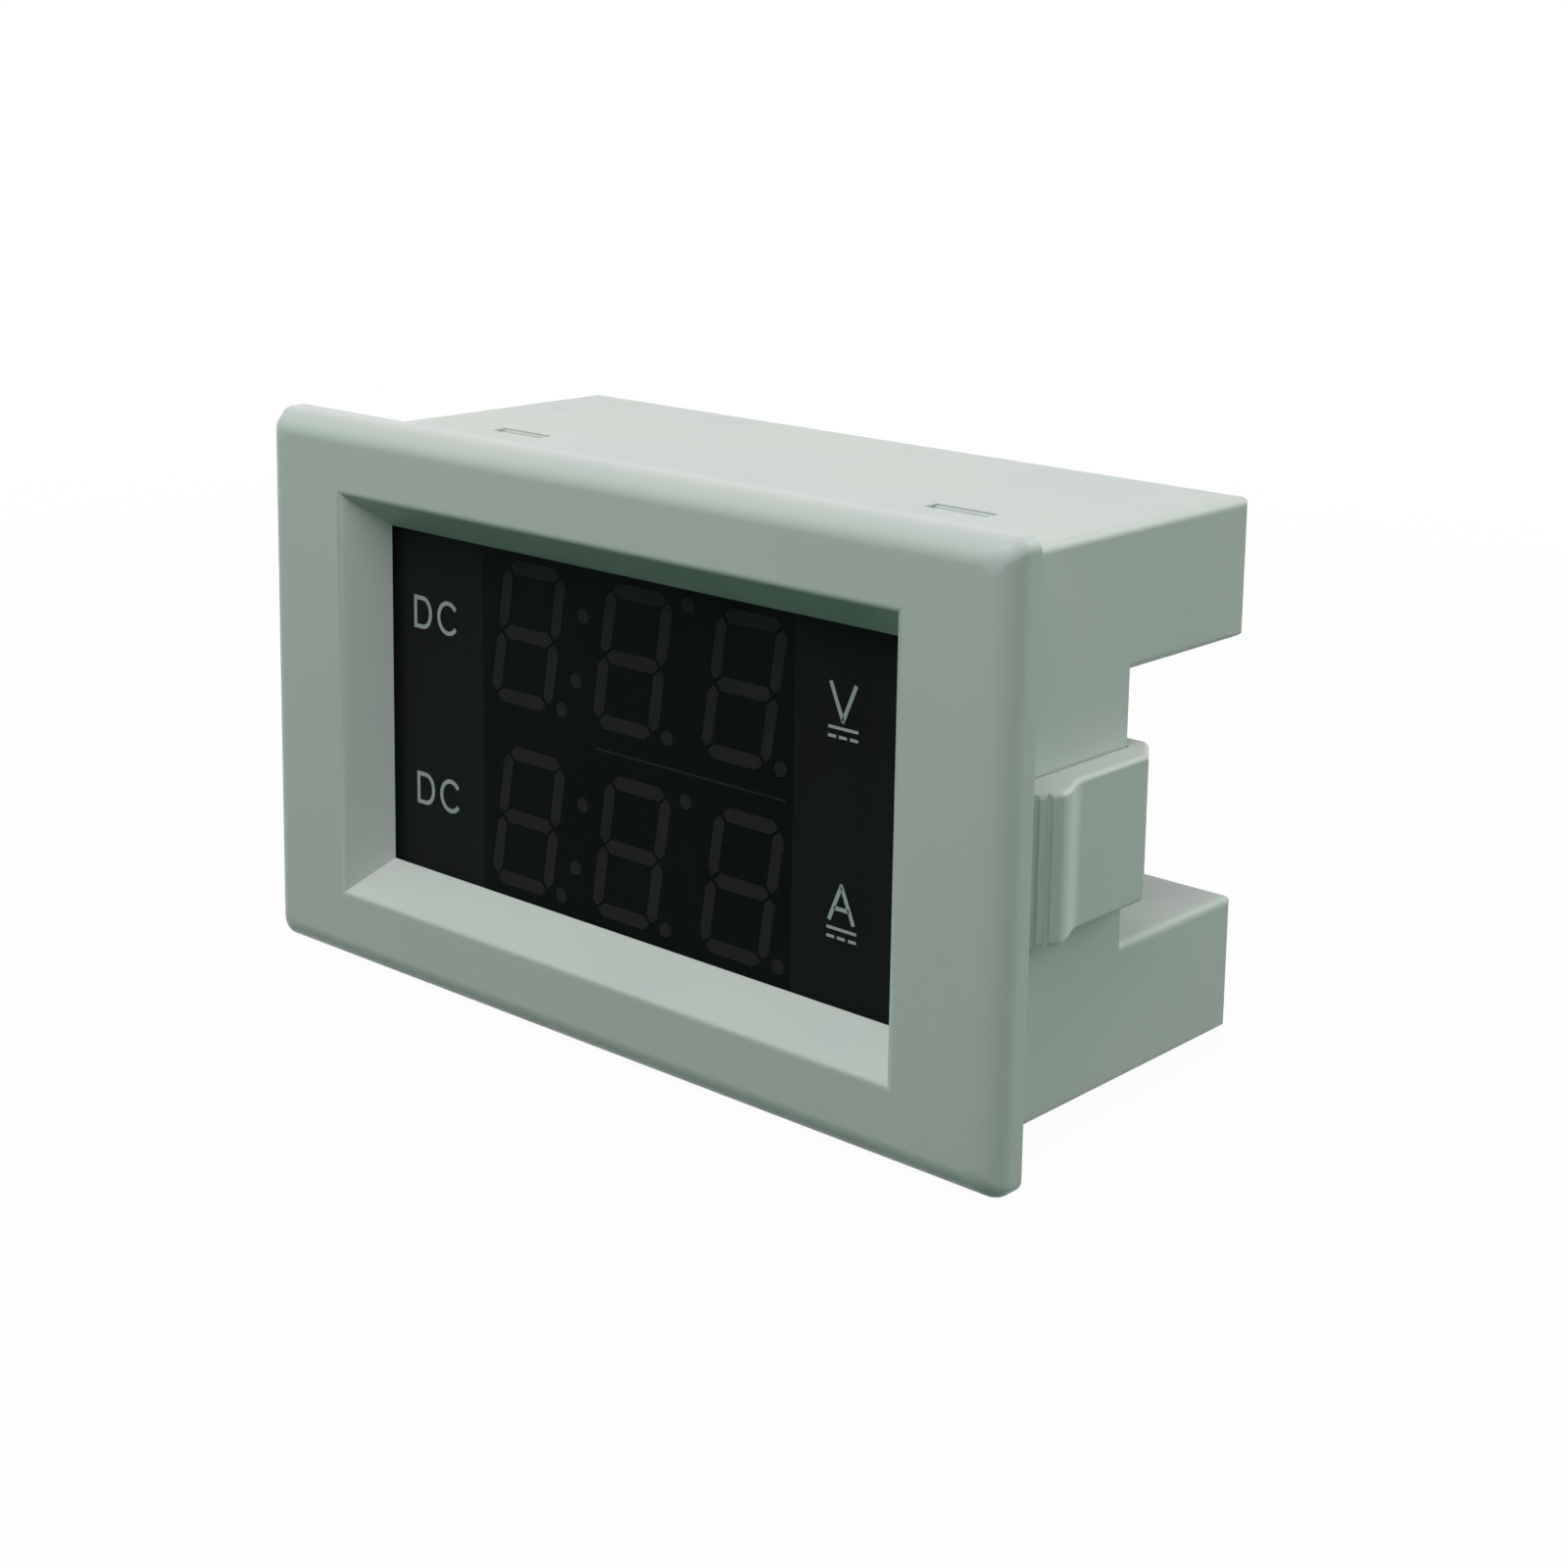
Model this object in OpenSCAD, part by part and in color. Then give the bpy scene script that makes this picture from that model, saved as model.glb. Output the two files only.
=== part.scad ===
// Two-row digital panel meter for a rectangular cut-out: bezel, tinted window, two LED displays,
// a C-shaped housing with a rear terminal channel, six screw terminals and two sliding side clips.
// X runs across the face, Y runs back through the panel and Z runs up. The origin is the middle of
// the plane where the back of the bezel's flange meets the panel. Lengths are millimetres.

/* [Bezel] */
// Width of the flange
bezel_w = 85; // [84:0.5:96]
// Height of the flange
bezel_h = 50.3; // [49:0.1:60]
// Thickness of the flange
bezel_t = 3.5; // [3.4:0.1:6]
// Rounding of the flange's front edges
bezel_edge_r = 2.2; // [0.8:0.1:3]
// Rounding of the flange's corners, seen from the front
bezel_corner_r = 1.2; // [0.4:0.1:3]
// Depth of the skirt that plugs into the housing
skirt_d = 5.6; // [4:0.1:6]
// Wall of the skirt
skirt_wall = 1.5; // [1:0.1:2]

/* [Window] */
// Width of the window that shows
opening_w = 58.9; // [50:0.1:60]
// Height of the window that shows
opening_h = 31; // [26:0.1:32]
// Width of the sloped reveal at the front
reveal_w = 64.4; // [62:0.1:70]
// Height of the sloped reveal at the front
reveal_h = 37; // [34:0.1:42]
// Depth of the reveal from the front to the window
reveal_depth = 3.7; // [3:0.1:4.2]
// Rounding of the reveal's front edge
reveal_edge_r = 0.8; // [0.2:0.1:1.2]
// Thickness of the window
window_t = 1; // [0.8:0.1:2]
// Overlap of the window behind the bezel, each side
window_lap = 1.7; // [1:0.1:2]

/* [Displays] */
// Width of one three-digit display
display_w = 37.6; // [36:0.1:50]
// Height of one display
display_h = 16.5; // [15:0.1:17]
// Depth of one display
display_d = 6.8; // [6:0.1:8]
// Height of a digit
digit_h = 12.9; // [10:0.1:13.5]
// Width of a digit
digit_w = 7.8; // [5:0.1:8]
// Distance between digits
digit_pitch = 12.7; // [11.5:0.1:13]
// Width of a segment
segment_w = 1.3; // [0.8:0.1:1.6]
// Lean of the digits in degrees
digit_lean = 8.5; // [0:0.5:12]
// How far the pair of displays sits below the window's middle
display_drop = 0.3; // [0:0.1:0.7]

/* [Housing] */
// Width of the housing, which fits the panel cut-out
case_w = 76.8; // [75:0.1:78]
// Height of the housing, which fits the panel cut-out
case_h = 46; // [45:0.1:48]
// Wall thickness
case_wall = 1.8; // [1.4:0.1:2.2]
// Rounding of the long outer edges
case_edge_r = 0.8; // [0.4:0.1:2]
// Rounding of the rear edges
case_rear_r = 0.5; // [0.2:0.1:2]
// Height of the open channel across the back
channel_h = 22.4; // [20:0.1:23.4]
// Reach of the two lobes past the channel floor
lobe_d = 16.5; // [14:0.1:30]
// Rounding of the channel's mouth
lip_r = 0.7; // [0.4:0.1:2]

/* [Boards] */
// Thickness of the display board
display_board_t = 1.2; // [0.8:0.1:1.6]
// Thickness of the main board
main_board_t = 1.6; // [1:0.1:2]
// Space between the two boards
board_gap = 2.9; // [2.8:0.1:6]
// Space between the main board and the channel floor
floor_gap = 2.1; // [1.6:0.1:4]

/* [Side clips] */
// Height of a clip
clip_h = 12.1; // [11:0.1:14]
// Thickness of a clip's grip plate
clip_t = 2.4; // [1.8:0.1:3]
// Thinnest panel, left between the flange and a clip pushed fully home
panel_min = 1.5; // [0.5:0.1:3]
// How far the front foot stands out past the grip plate
foot_rise = 1.2; // [0.6:0.1:2]
// Height of the guide slot in the housing's side wall
guide_h = 6.3; // [5:0.1:7]
// Distance between ratchet teeth
tooth_pitch = 0.9; // [0.6:0.1:1.4]

/* [Terminals] */
// Distance between terminals
pole_pitch = 6.35; // [6.2:0.05:6.6]
// Height of the terminal block, across the channel
block_h = 14; // [13:0.1:18]
// Distance from the main board to the deck under the contacts
deck_rise = 7.2; // [6.6:0.1:9]
// Height of the barriers above the deck
barrier_h = 6.5; // [5.5:0.1:8]
// Thickness of the barriers
barrier_t = 1.1; // [0.8:0.05:1.2]
// Diameter of the terminal screw's shank
screw_d = 2.9; // [2.5:0.1:3]
// Diameter of the terminal screw's head
head_d = 4.8; // [4.4:0.1:5]
// Height of the terminal screw's head
head_h = 1.9; // [1.4:0.1:2.4]
// Thickness of the square clamp plates
clamp_t = 0.9; // [0.6:0.1:1.2]

/* [Hidden] */

$fn = 48;
eps = 0.01;
cut = 1;             // how far a cutting solid runs past the face it opens
plug_fit = 0.15;     // between the skirt and the housing
part_fit = 0.1;      // round a part that is laid in a pocket
window_gap = 0.1;    // between the window and the displays
slide_fit = 0.15;    // round a clip's tongue
seat_gap = 0.02;     // between parts that are screwed down on each other
shank_fit = 0.05;    // round a screw's shank, on the radius
rows = [1, -1];      // upper row, lower row
sides = [-1, 1];     // left side, right side

// Depths through the meter, from the front
window_front = reveal_depth - bezel_t;
window_back = window_front + window_t;
display_front = window_back + window_gap;
display_back = display_front + display_d;
display_board_back = display_back + display_board_t;
main_board_front = display_board_back + board_gap;
main_board_back = main_board_front + main_board_t;
floor_front = main_board_back + floor_gap;
floor_back = floor_front + case_wall;
case_d = floor_back + lobe_d;
deck = main_board_back + deck_rise;
barrier_top = deck + barrier_h;

// The window in its pocket
window_w = opening_w + 2 * window_lap;
window_h = opening_h + 2 * window_lap;

// The skirt and its snap hooks
skirt_w = case_w - 2 * (case_wall + plug_fit);
skirt_h = case_h - 2 * (case_wall + plug_fit);
hook_w = 5.8;        // width of a snap hook
hook_t = 1.2;        // thickness of its arm
hook_x = 25.5;       // from the middle to a hook
hook_l = 7.4;        // how far a hook's arm reaches past the skirt
hook_back = skirt_d + hook_l;
nose_d = 1.6;        // length of a hook's nose along the arm
nose_inset = 0.25;   // from the nose's tip to the housing's skin
slit = 0.6;          // open part of a snap window behind the nose

// The clips and their guides
tongue_t = 1.4;      // thickness of the tongue inside the wall
tongue_lip = 1.5;    // how far the tongue reaches past the slot, each side
guide_front = skirt_d + 2.2;
tongue_front = guide_front + 0.5;
tongue_back = floor_back - 1;
tongue_in = case_w / 2 - case_wall - slide_fit - tongue_t;
clip_drop = 0.9;     // from the middle of the wall down to the middle of a clip
clip_in = case_w / 2 + slide_fit;
clip_out = clip_in + clip_t;
clip_edge_r = 0.6;   // rounding of a clip's outer edges
foot_nose = 1.9;     // thickness of the foot at its front end
foot_l = 2.7;        // from the foot's front to where it is thickest
crest_y = panel_min + foot_l;
crest_flat = 0.4;
foot_slope = 3.8;    // length of the hollow slope between the foot and the grip plate
grooves = [0.9, 1.8];  // from the foot's front to its two grooves
groove_r = 0.25;
finger_t = 2.4;      // thickness of the finger behind the wall
finger_in = 3.6;     // how far the finger reaches in from the wall's skin
finger_front = floor_back + 0.2;
finger_back = finger_front + finger_t;
heel = 3.2;          // length of the slanted corner between the grip plate and the finger
rack_h = 1.8;        // height of a strip of ratchet teeth
rack_gap = 0.7;      // from the slot to a strip
tooth_d = 0.35;      // depth of a ratchet tooth

// The boards
board_w = 2 * (tongue_in - 0.5);
board_h = skirt_h - 2 * (hook_t + 1.3);
post_r = 1.7;        // radius of a display board post on the bezel
post_x = board_w / 2 - 1.95;
post_z = 13;
boss_r = 2.2;        // radius of a main board boss in the housing
boss_x = 30;
boss_z = 9.4;
pilot_r = 0.9;       // radius of the small screws' shanks
small_head_r = 1.8;
small_head_h = 1.2;
display_bite = 4;    // depth of a display screw's thread in its post
board_bite = 3;      // depth of a board screw's thread in its boss
pin_pitch = 2.54;
pin_t = 0.6;         // width of a square pin
pin_hole_r = 0.5;    // radius of the plated holes
pin_end = 1.2;       // how far pins stand out of a board
header_x = 26;
header_pins = 6;
header_w = 2.5;      // width of a header's plastic body
display_pin_pitch = 5.08;
display_pins = 6;    // in each row
display_pin_z = display_h / 2 - 1.9;

// The displays
pair_z = display_h / 2 + 0.05;      // from the pair's middle to a display's middle
digit_x = -0.2;      // the middle digit, from the display's middle
well_d = 0.25;       // depth of the segment wells
segment_gap = 0.3;   // dark gap between neighbouring segments
dot_r = 0.75;
dot_gap = 0.2;       // from a digit's right edge to the middle of its decimal point

// Parts on the main board
supply_z = (channel_h / 2 + case_wall + case_h / 2 - case_wall) / 2;   // middle of a lobe's inside
lobe_room = case_h / 2 - channel_h / 2 - 2 * case_wall;                // height of a lobe's inside
part_lift = 0.1;     // under parts that stand on the board
trimmer_x = header_x + 4.5;
trimmer_w = 4;
rotor_r = 1.5;
rotor_t = 0.6;
trimmer_h = floor_gap - rotor_t - 0.3;
chip_w = 10;
chip_t = 1.4;        // thickness of its body
chip_edge = 5;       // from the board's upper edge to its body
chip_z = board_h / 2 - chip_w / 2 - chip_edge;

// The terminals
POLES = 6;
block_w = POLES * pole_pitch + barrier_t;
cell_w = pole_pitch - barrier_t;
contact_w = cell_w - 2 * 0.13;
contact_t = 1;
collar_r = screw_d / 2 + 0.95;
collar_d = 3.4;
clamp_w = contact_w;
clamp_front = deck + contact_t + seat_gap;
head_front = clamp_front + clamp_t + seat_gap;
shank_reach = 4.4;   // from the deck to the end of a screw
shank_end = deck - shank_reach;
tail_z = -4.7;       // the contact's solder tail

function pole_x(i) = (i - (POLES + 1) / 2) * pole_pitch;

// ---- Helpers -------------------------------------------------------------------------------

// Sweeps a drawing of X and Z along Y
module along_y(front, back) {
    translate([0, back, 0]) rotate([90, 0, 0]) linear_extrude(back - front) children();
}

// Sweeps a drawing of Y and Z along X
module along_x(left, right) {
    translate([left, 0, 0]) rotate([90, 0, 90]) linear_extrude(right - left) children();
}

// Sweeps a drawing of X and Y along Z
module along_z(low, high) {
    translate([0, 0, low]) linear_extrude(high - low) children();
}

// A block given by its lowest and highest corners
module block(low, high) {
    translate(low) cube(high - low);
}

// A round bar along Y
module bar_y(r, front, back) {
    translate([0, back, 0]) rotate([90, 0, 0]) cylinder(r = r, h = back - front);
}

module rounded(w, h, r) {
    square([w - 2 * r, h], center = true);
    square([w, h - 2 * r], center = true);
    for (x = sides, y = sides) translate([x * (w / 2 - r), y * (h / 2 - r)]) circle(r);
}

module four(x, z) {
    for (a = sides, b = sides) translate([a * x, 0, b * z]) children();
}

// ---- Bezel ---------------------------------------------------------------------------------

// Half outline of the sloped reveal against depth: [half width, depth] from front to back
function reveal_curve(front, back) =
    let (slope = atan2(front - back, reveal_depth),
         r = reveal_edge_r,
         lead = r * tan((90 - slope) / 2))
    [for (i = [0:6]) let (a = i * (90 - slope) / 6)
        [front + lead - r * sin(a), -bezel_t + r - r * cos(a)]];

module reveal_profile(front, back) {
    curve = reveal_curve(front / 2, back / 2);
    lead = curve[0][0];
    right = concat([[lead, -bezel_t - cut]], curve, [[back / 2, window_front], [back / 2, window_front + eps]]);
    n = len(right);
    polygon(concat(right, [for (i = [n - 1:-1:0]) [-right[i][0], right[i][1]]]));
}

module reveal() {
    intersection() {
        along_z(-bezel_h, bezel_h) reveal_profile(reveal_w, opening_w);
        rotate([0, -90, 0]) along_z(-bezel_w, bezel_w) reveal_profile(reveal_h, opening_h);
    }
}

// A slab whose front edges fall away in a quarter round
module flange() {
    r = bezel_edge_r;
    steps = 8;
    hull() {
        for (i = [0:steps - 1]) let (a = 90 * i / steps, inset = 2 * r * (1 - sin(a)), front = -bezel_t + r * (1 - cos(a)))
            along_y(front, front + eps) rounded(bezel_w - inset, bezel_h - inset, bezel_corner_r);
        along_y(-bezel_t + r, 0) rounded(bezel_w, bezel_h, bezel_corner_r);
    }
}

// A snap hook on the upper edge of the skirt, at the middle
module hook() {
    tip = case_h / 2 - nose_inset;
    arm_top = skirt_h / 2;
    along_x(-hook_w / 2, hook_w / 2) polygon([
        [skirt_d - 1.5, arm_top - hook_t], [hook_back, arm_top - hook_t], [hook_back, arm_top - 0.3],
        [hook_back - 0.4, arm_top], [hook_back - 0.5, tip], [hook_back - nose_d + 0.4, tip],
        [hook_back - nose_d, tip - 0.3], [hook_back - nose_d, arm_top], [skirt_d - 1.5, arm_top]]);
}

module bezel() {
    color("#d5d8d4") difference() {
        union() {
            flange();
            // The frame behind the flange and the skirt
            along_y(-eps, window_back) square([skirt_w, skirt_h], center = true);
            along_y(0, skirt_d) difference() {
                rounded(skirt_w, skirt_h, 1);
                square([skirt_w - 2 * skirt_wall, skirt_h - 2 * skirt_wall], center = true);
            }
            four(post_x, post_z) bar_y(post_r, 0, display_back);
            for (x = sides, z = rows) mirror([0, 0, z < 0 ? 1 : 0]) translate([x * hook_x, 0, 0]) hook();
        }
        reveal();
        along_y(window_front, window_back + cut)
            square([window_w + 2 * part_fit, window_h + 2 * part_fit], center = true);
        four(post_x, post_z) bar_y(pilot_r + shank_fit, display_back - display_bite - 0.4, display_back + cut);
    }
}

module lens_window() {
    color("#181a1a", 0.7) along_y(window_front, window_back) rounded(window_w, window_h, 0.6);
}

// ---- Displays ------------------------------------------------------------------------------

// A bar with pointed ends, lying along X
module segment(length) {
    w = segment_w / 2;
    polygon([[-length / 2, 0], [-length / 2 + w, w], [length / 2 - w, w],
             [length / 2, 0], [length / 2 - w, -w], [-length / 2 + w, -w]]);
}

// Seven leaning segments
module digit() {
    across = digit_w - segment_w;
    half = (digit_h - segment_w) / 2;
    lean = tan(digit_lean);
    multmatrix([[1, lean, 0, 0], [0, 1, 0, 0], [0, 0, 1, 0], [0, 0, 0, 1]]) {
        for (row = [-1:1]) translate([0, row * half]) segment(across - segment_gap);
        for (x = sides, row = sides) translate([x * across / 2, row * half / 2]) rotate(90)
            segment(half - segment_gap);
    }
}

// All that lights up on one display
module display_face() {
    half = (digit_h - segment_w) / 2;
    lean = tan(digit_lean);
    for (i = [-1:1]) translate([digit_x + i * digit_pitch, 0]) {
        digit();
        translate([digit_w / 2 + dot_gap, -half]) circle(dot_r, $fn = 24);
    }
    for (z = rows) translate([digit_x - digit_pitch / 2 + z * half / 2 * lean, z * half / 2])
        circle(dot_r, $fn = 24);
    translate([digit_x + digit_pitch / 2, half]) circle(dot_r, $fn = 24);
}

module display(row) {
    translate([0, 0, row * pair_z - display_drop]) {
        difference() {
            along_y(display_front, display_back) rounded(display_w, display_h, 0.4);
            along_y(display_front - cut, display_front + well_d) display_face();
        }
        for (i = [0:display_pins - 1], z = rows)
            translate([(i - (display_pins - 1) / 2) * display_pin_pitch, 0, z * display_pin_z])
                along_y(display_back - eps, display_board_back + pin_end) square(pin_t, center = true);
    }
}

module volt_display() { color("#2a2a2a") display(1); }
module amp_display() { color("#2a2a2a") display(-1); }

// ---- Boards --------------------------------------------------------------------------------

module display_board() {
    color("#2c6e49") along_y(display_back, display_board_back) difference() {
        square([board_w, board_h], center = true);
        for (row = rows, i = [0:display_pins - 1], z = rows)
            translate([(i - (display_pins - 1) / 2) * display_pin_pitch,
                       row * pair_z - display_drop + z * display_pin_z]) circle(pin_hole_r, $fn = 24);
        for (x = sides, i = [0:header_pins - 1])
            translate([x * header_x, (i - (header_pins - 1) / 2) * pin_pitch]) circle(pin_hole_r, $fn = 24);
        for (x = sides, z = sides) translate([x * post_x, z * post_z]) circle(pilot_r + 0.2, $fn = 24);
    }
}

// A self-tapping screw: head towards +Y, its seat at y = 0
module small_screw(length) {
    difference() {
        bar_y(small_head_r, 0, small_head_h);
        block([-small_head_r, small_head_h - 0.5, -0.2], [small_head_r, small_head_h + cut, 0.2]);
        block([-0.2, small_head_h - 0.5, -small_head_r], [0.2, small_head_h + cut, small_head_r]);
    }
    bar_y(pilot_r, -length, eps);
}

module display_screws() {
    color("#b8b8b0") four(post_x, post_z)
        translate([0, display_board_back, 0]) small_screw(display_board_t + display_bite);
}

module header(side) {
    x = side * header_x;
    pin_z = [for (i = [0:header_pins - 1]) (i - (header_pins - 1) / 2) * pin_pitch];
    half = header_pins * pin_pitch / 2;
    block([x - header_w / 2, display_board_back, -half], [x + header_w / 2, main_board_front, half]);
    for (z = pin_z) translate([x, 0, z])
        along_y(display_back - pin_end, main_board_back + pin_end) square(pin_t, center = true);
}

module header_left() { color("#2b2b2d") header(-1); }
module header_right() { color("#2b2b2d") header(1); }

module main_board() {
    color("#2c6e49") along_y(main_board_front, main_board_back) difference() {
        square([board_w, board_h], center = true);
        for (x = sides, i = [0:header_pins - 1])
            translate([x * header_x, (i - (header_pins - 1) / 2) * pin_pitch]) circle(pin_hole_r, $fn = 24);
        for (x = sides, z = sides) translate([x * boss_x, z * boss_z]) circle(pilot_r + 0.2, $fn = 24);
        for (i = [1:POLES]) translate([pole_x(i), tail_z]) circle(0.75, $fn = 24);
        for (p = lead_holes()) translate(p) circle(lead_hole_r, $fn = 24);
    }
}

module board_screws() {
    color("#b8b8b0") four(boss_x, boss_z) translate([0, main_board_front, 0]) mirror([0, 1, 0])
        small_screw(main_board_t + board_bite);
}

// A flat pack with gull-wing leads on all four sides, on the front of the main board
module controller_chip() {
    leads = 11;
    lead_pitch = 0.8;
    chip_front = main_board_front - part_lift - chip_t;
    color("#1c1c1e") translate([0, 0, chip_z]) {
        difference() {
            block([-chip_w / 2, chip_front, -chip_w / 2],
                  [chip_w / 2, main_board_front - part_lift, chip_w / 2]);
            translate([-chip_w / 2 + 1.2, 0, chip_w / 2 - 1.2]) bar_y(0.4, chip_front - cut, chip_front + 0.1);
        }
        for (turn = [0:3], i = [0:leads - 1]) rotate([0, 90 * turn, 0])
            translate([(i - (leads - 1) / 2) * lead_pitch, main_board_front, chip_w / 2])
                along_x(-0.15, 0.15) polygon([[-0.9, -eps], [-0.9, 0.5], [-0.2, 0.7], [-0.2, 1.1],
                                               [0, 1.1], [0, 0.6], [-0.7, 0.35], [-0.7, -eps]]);
    }
}

// ---- Supply parts, standing on the back of the main board in the lobes ---------------------

lead_r = 0.3;
lead_hole_r = 0.45;
lead_gap = 1.25;             // from a part's middle to each lead
capacitor_d = 6.3;
capacitor_x = [-22, -14];
capacitor_l = 11;
inductor_d = 7;
inductor_x = -4;
inductor_l = 8.5;
regulator_x = 9;
regulator_pitch = 2.54;
regulator_w = 8;
regulator_h = 6;             // length of its body
regulator_t = 2.8;
regulator_leg = 2;           // from the board to its body
tab_h = 4.5;                 // how far its metal tab stands past the body
tab_t = 1;
tab_hole_r = 1.2;
film_x = -17;
film_w = 10;
film_t = 4.6;
film_l = 8;
film_gap = 3.75;
shunt_x = 8;
shunt_bend = 4;              // radius of the shunt's bend
shunt_r = 0.8;
shunt_leg = 8;

function lead_holes() = concat(
    [for (x = capacitor_x, s = sides) [x + s * lead_gap, supply_z]],
    [for (s = sides) [inductor_x + s * lead_gap, supply_z]],
    [for (i = [-1:1]) [regulator_x + i * regulator_pitch, supply_z]],
    [for (s = sides) [film_x + s * film_gap, -supply_z]]);

// Two round leads through the board
module leads(gap, length) {
    for (s = sides) translate([s * gap, 0, 0]) bar_y(lead_r, main_board_front - pin_end, length);
}

// A radial electrolytic capacitor with a crimp groove and a scored top
module capacitor(x) {
    base = main_board_back + part_lift;
    r = min(capacitor_d, lobe_room - 2 * part_fit) / 2;
    translate([x, base, supply_z]) rotate([-90, 0, 0]) rotate_extrude() difference() {
        polygon([[0, 0], [r - 0.3, 0], [r, 0.3], [r, capacitor_l - 0.4], [r - 0.4, capacitor_l], [0, capacitor_l]]);
        translate([r + 0.1, 1.6]) circle(0.5, $fn = 24);
        translate([0, capacitor_l - 0.15]) square([r - 0.9, 1]);
    }
    translate([x, 0, supply_z]) leads(lead_gap, base + eps);
}

module supply_capacitor_1() { color("#23395b") capacitor(capacitor_x[0]); }
module supply_capacitor_2() { color("#23395b") capacitor(capacitor_x[1]); }

// A drum core with its winding between two flanges
module supply_inductor() {
    base = main_board_back + part_lift;
    r = min(inductor_d, lobe_room - 2 * part_fit) / 2;
    color("#4a4a4c") {
        translate([inductor_x, base, supply_z]) rotate([-90, 0, 0]) rotate_extrude()
            polygon([[0, 0], [r, 0], [r, 1.2], [r - 0.8, 1.2], [r - 0.8, inductor_l - 1.2],
                     [r, inductor_l - 1.2], [r, inductor_l], [0, inductor_l]]);
        translate([inductor_x, 0, supply_z]) leads(lead_gap, base + eps);
    }
}

// A three-legged power package: plastic body with a drilled metal tab
module voltage_regulator() {
    foot = main_board_back + regulator_leg;
    body_back = foot + regulator_h;
    tab_back = min(body_back + tab_h, case_d - case_wall - 0.5);
    w = regulator_w / 2;
    t = regulator_t / 2;
    color("#303032") translate([regulator_x, 0, supply_z]) {
        block([-w, foot, -t], [w, body_back, t]);
        difference() {
            block([-w, foot + 0.5, t - eps], [w, tab_back, t + tab_t]);
            translate([0, (body_back + tab_back) / 2, 0]) cylinder(r = tab_hole_r, h = 4 * regulator_t, center = true);
        }
        for (i = [-1:1]) translate([i * regulator_pitch, 0, 0])
            along_y(main_board_front - pin_end, foot + eps) square([0.55, 0.4], center = true);
    }
}

// A box film capacitor
module input_capacitor() {
    base = main_board_back + part_lift;
    color("#b58a2c") translate([film_x, 0, -supply_z]) {
        along_y(base, base + film_l) rounded(film_w, film_t, 0.5);
        leads(film_gap, base + eps);
    }
}

// A thick wire loop: two legs and a half turn
module current_shunt() {
    bend_y = main_board_back + shunt_leg;
    color("#9c7b57") translate([shunt_x, 0, -supply_z]) {
        for (s = sides) translate([s * shunt_bend, 0, 0]) bar_y(shunt_r, main_board_back, bend_y);
        translate([0, bend_y, 0]) rotate_extrude(angle = 180) translate([shunt_bend, 0]) circle(shunt_r, $fn = 24);
    }
}

// ---- Trimmers ------------------------------------------------------------------------------

module trimmer(side) {
    translate([side * trimmer_x, 0, 0]) difference() {
        along_y(main_board_back, main_board_back + trimmer_h) rounded(trimmer_w, trimmer_w, 0.4);
        bar_y(rotor_r + shank_fit, main_board_back + trimmer_h - 0.3, main_board_back + trimmer_h + cut);
    }
}

module trimmer_rotor(side) {
    front = main_board_back + trimmer_h - 0.3 + seat_gap;
    translate([side * trimmer_x, 0, 0]) difference() {
        bar_y(rotor_r, front, front + rotor_t);
        block([-rotor_r, front + rotor_t - 0.3, -0.25], [rotor_r, front + rotor_t + cut, 0.25]);
    }
}

module volt_trimmer() { color("#e8e2cf") trimmer(-1); }
module amp_trimmer() { color("#e8e2cf") trimmer(1); }
module volt_trimmer_rotor() { color("#c9a24a") trimmer_rotor(-1); }
module amp_trimmer_rotor() { color("#c9a24a") trimmer_rotor(1); }

// ---- Housing -------------------------------------------------------------------------------

// What is left over when a square corner at the origin, pointing to +X and +Y, gets a radius
module corner_waste(r) {
    difference() {
        translate([-r, -r]) square(r + cut);
        translate([-r, -r]) circle(r);
    }
}

// Side view: depth and height, with the rear edges and the channel's mouth rounded
module case_side_view() {
    difference() {
        translate([0, -case_h / 2]) square([case_d, case_h]);
        for (z = rows) mirror([0, z < 0 ? 1 : 0]) {
            translate([case_d, case_h / 2]) corner_waste(case_rear_r);
            translate([case_d, channel_h / 2]) mirror([0, 1]) corner_waste(lip_r);
        }
    }
}

// Top view: width and depth
module case_top_view() {
    difference() {
        translate([-case_w / 2, 0]) square([case_w, case_d]);
        for (x = sides) mirror([x < 0 ? 1 : 0, 0])
            translate([case_w / 2, case_d]) corner_waste(case_rear_r);
    }
}

// The body in front of the channel floor and the two lobes behind it
module case_body() {
    lobe_h = (case_h - channel_h) / 2;
    along_y(0, floor_back) rounded(case_w, case_h, case_edge_r);
    for (z = rows) translate([0, 0, z * (case_h - lobe_h) / 2])
        along_y(floor_back - eps, case_d) rounded(case_w, lobe_h, case_edge_r);
}

module case_inside() {
    w = case_w / 2 - case_wall;
    h = case_h / 2 - case_wall;
    inner = channel_h / 2 + case_wall;
    block([-w, -cut, -h], [w, floor_front, h]);
    for (z = rows) mirror([0, 0, z < 0 ? 1 : 0])
        block([-w, floor_front - eps, inner], [w, case_d - case_wall, h]);
}

// Saw teeth along Y on the right wall's skin, cut to tooth_d
module rack() {
    count = floor((floor_back - guide_front - 1) / tooth_pitch);
    skin = case_w / 2;
    teeth = [for (i = [0:count - 1]) let (y = guide_front + 0.5 + i * tooth_pitch)
             each [[skin - tooth_d, y], [skin, y + tooth_pitch * 0.8], [skin, y + tooth_pitch]]];
    last = teeth[len(teeth) - 1];
    polygon(concat([[skin, teeth[0][1] - eps]], teeth, [[skin + cut, last[1]], [skin + cut, teeth[0][1] - eps]]));
}

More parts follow.
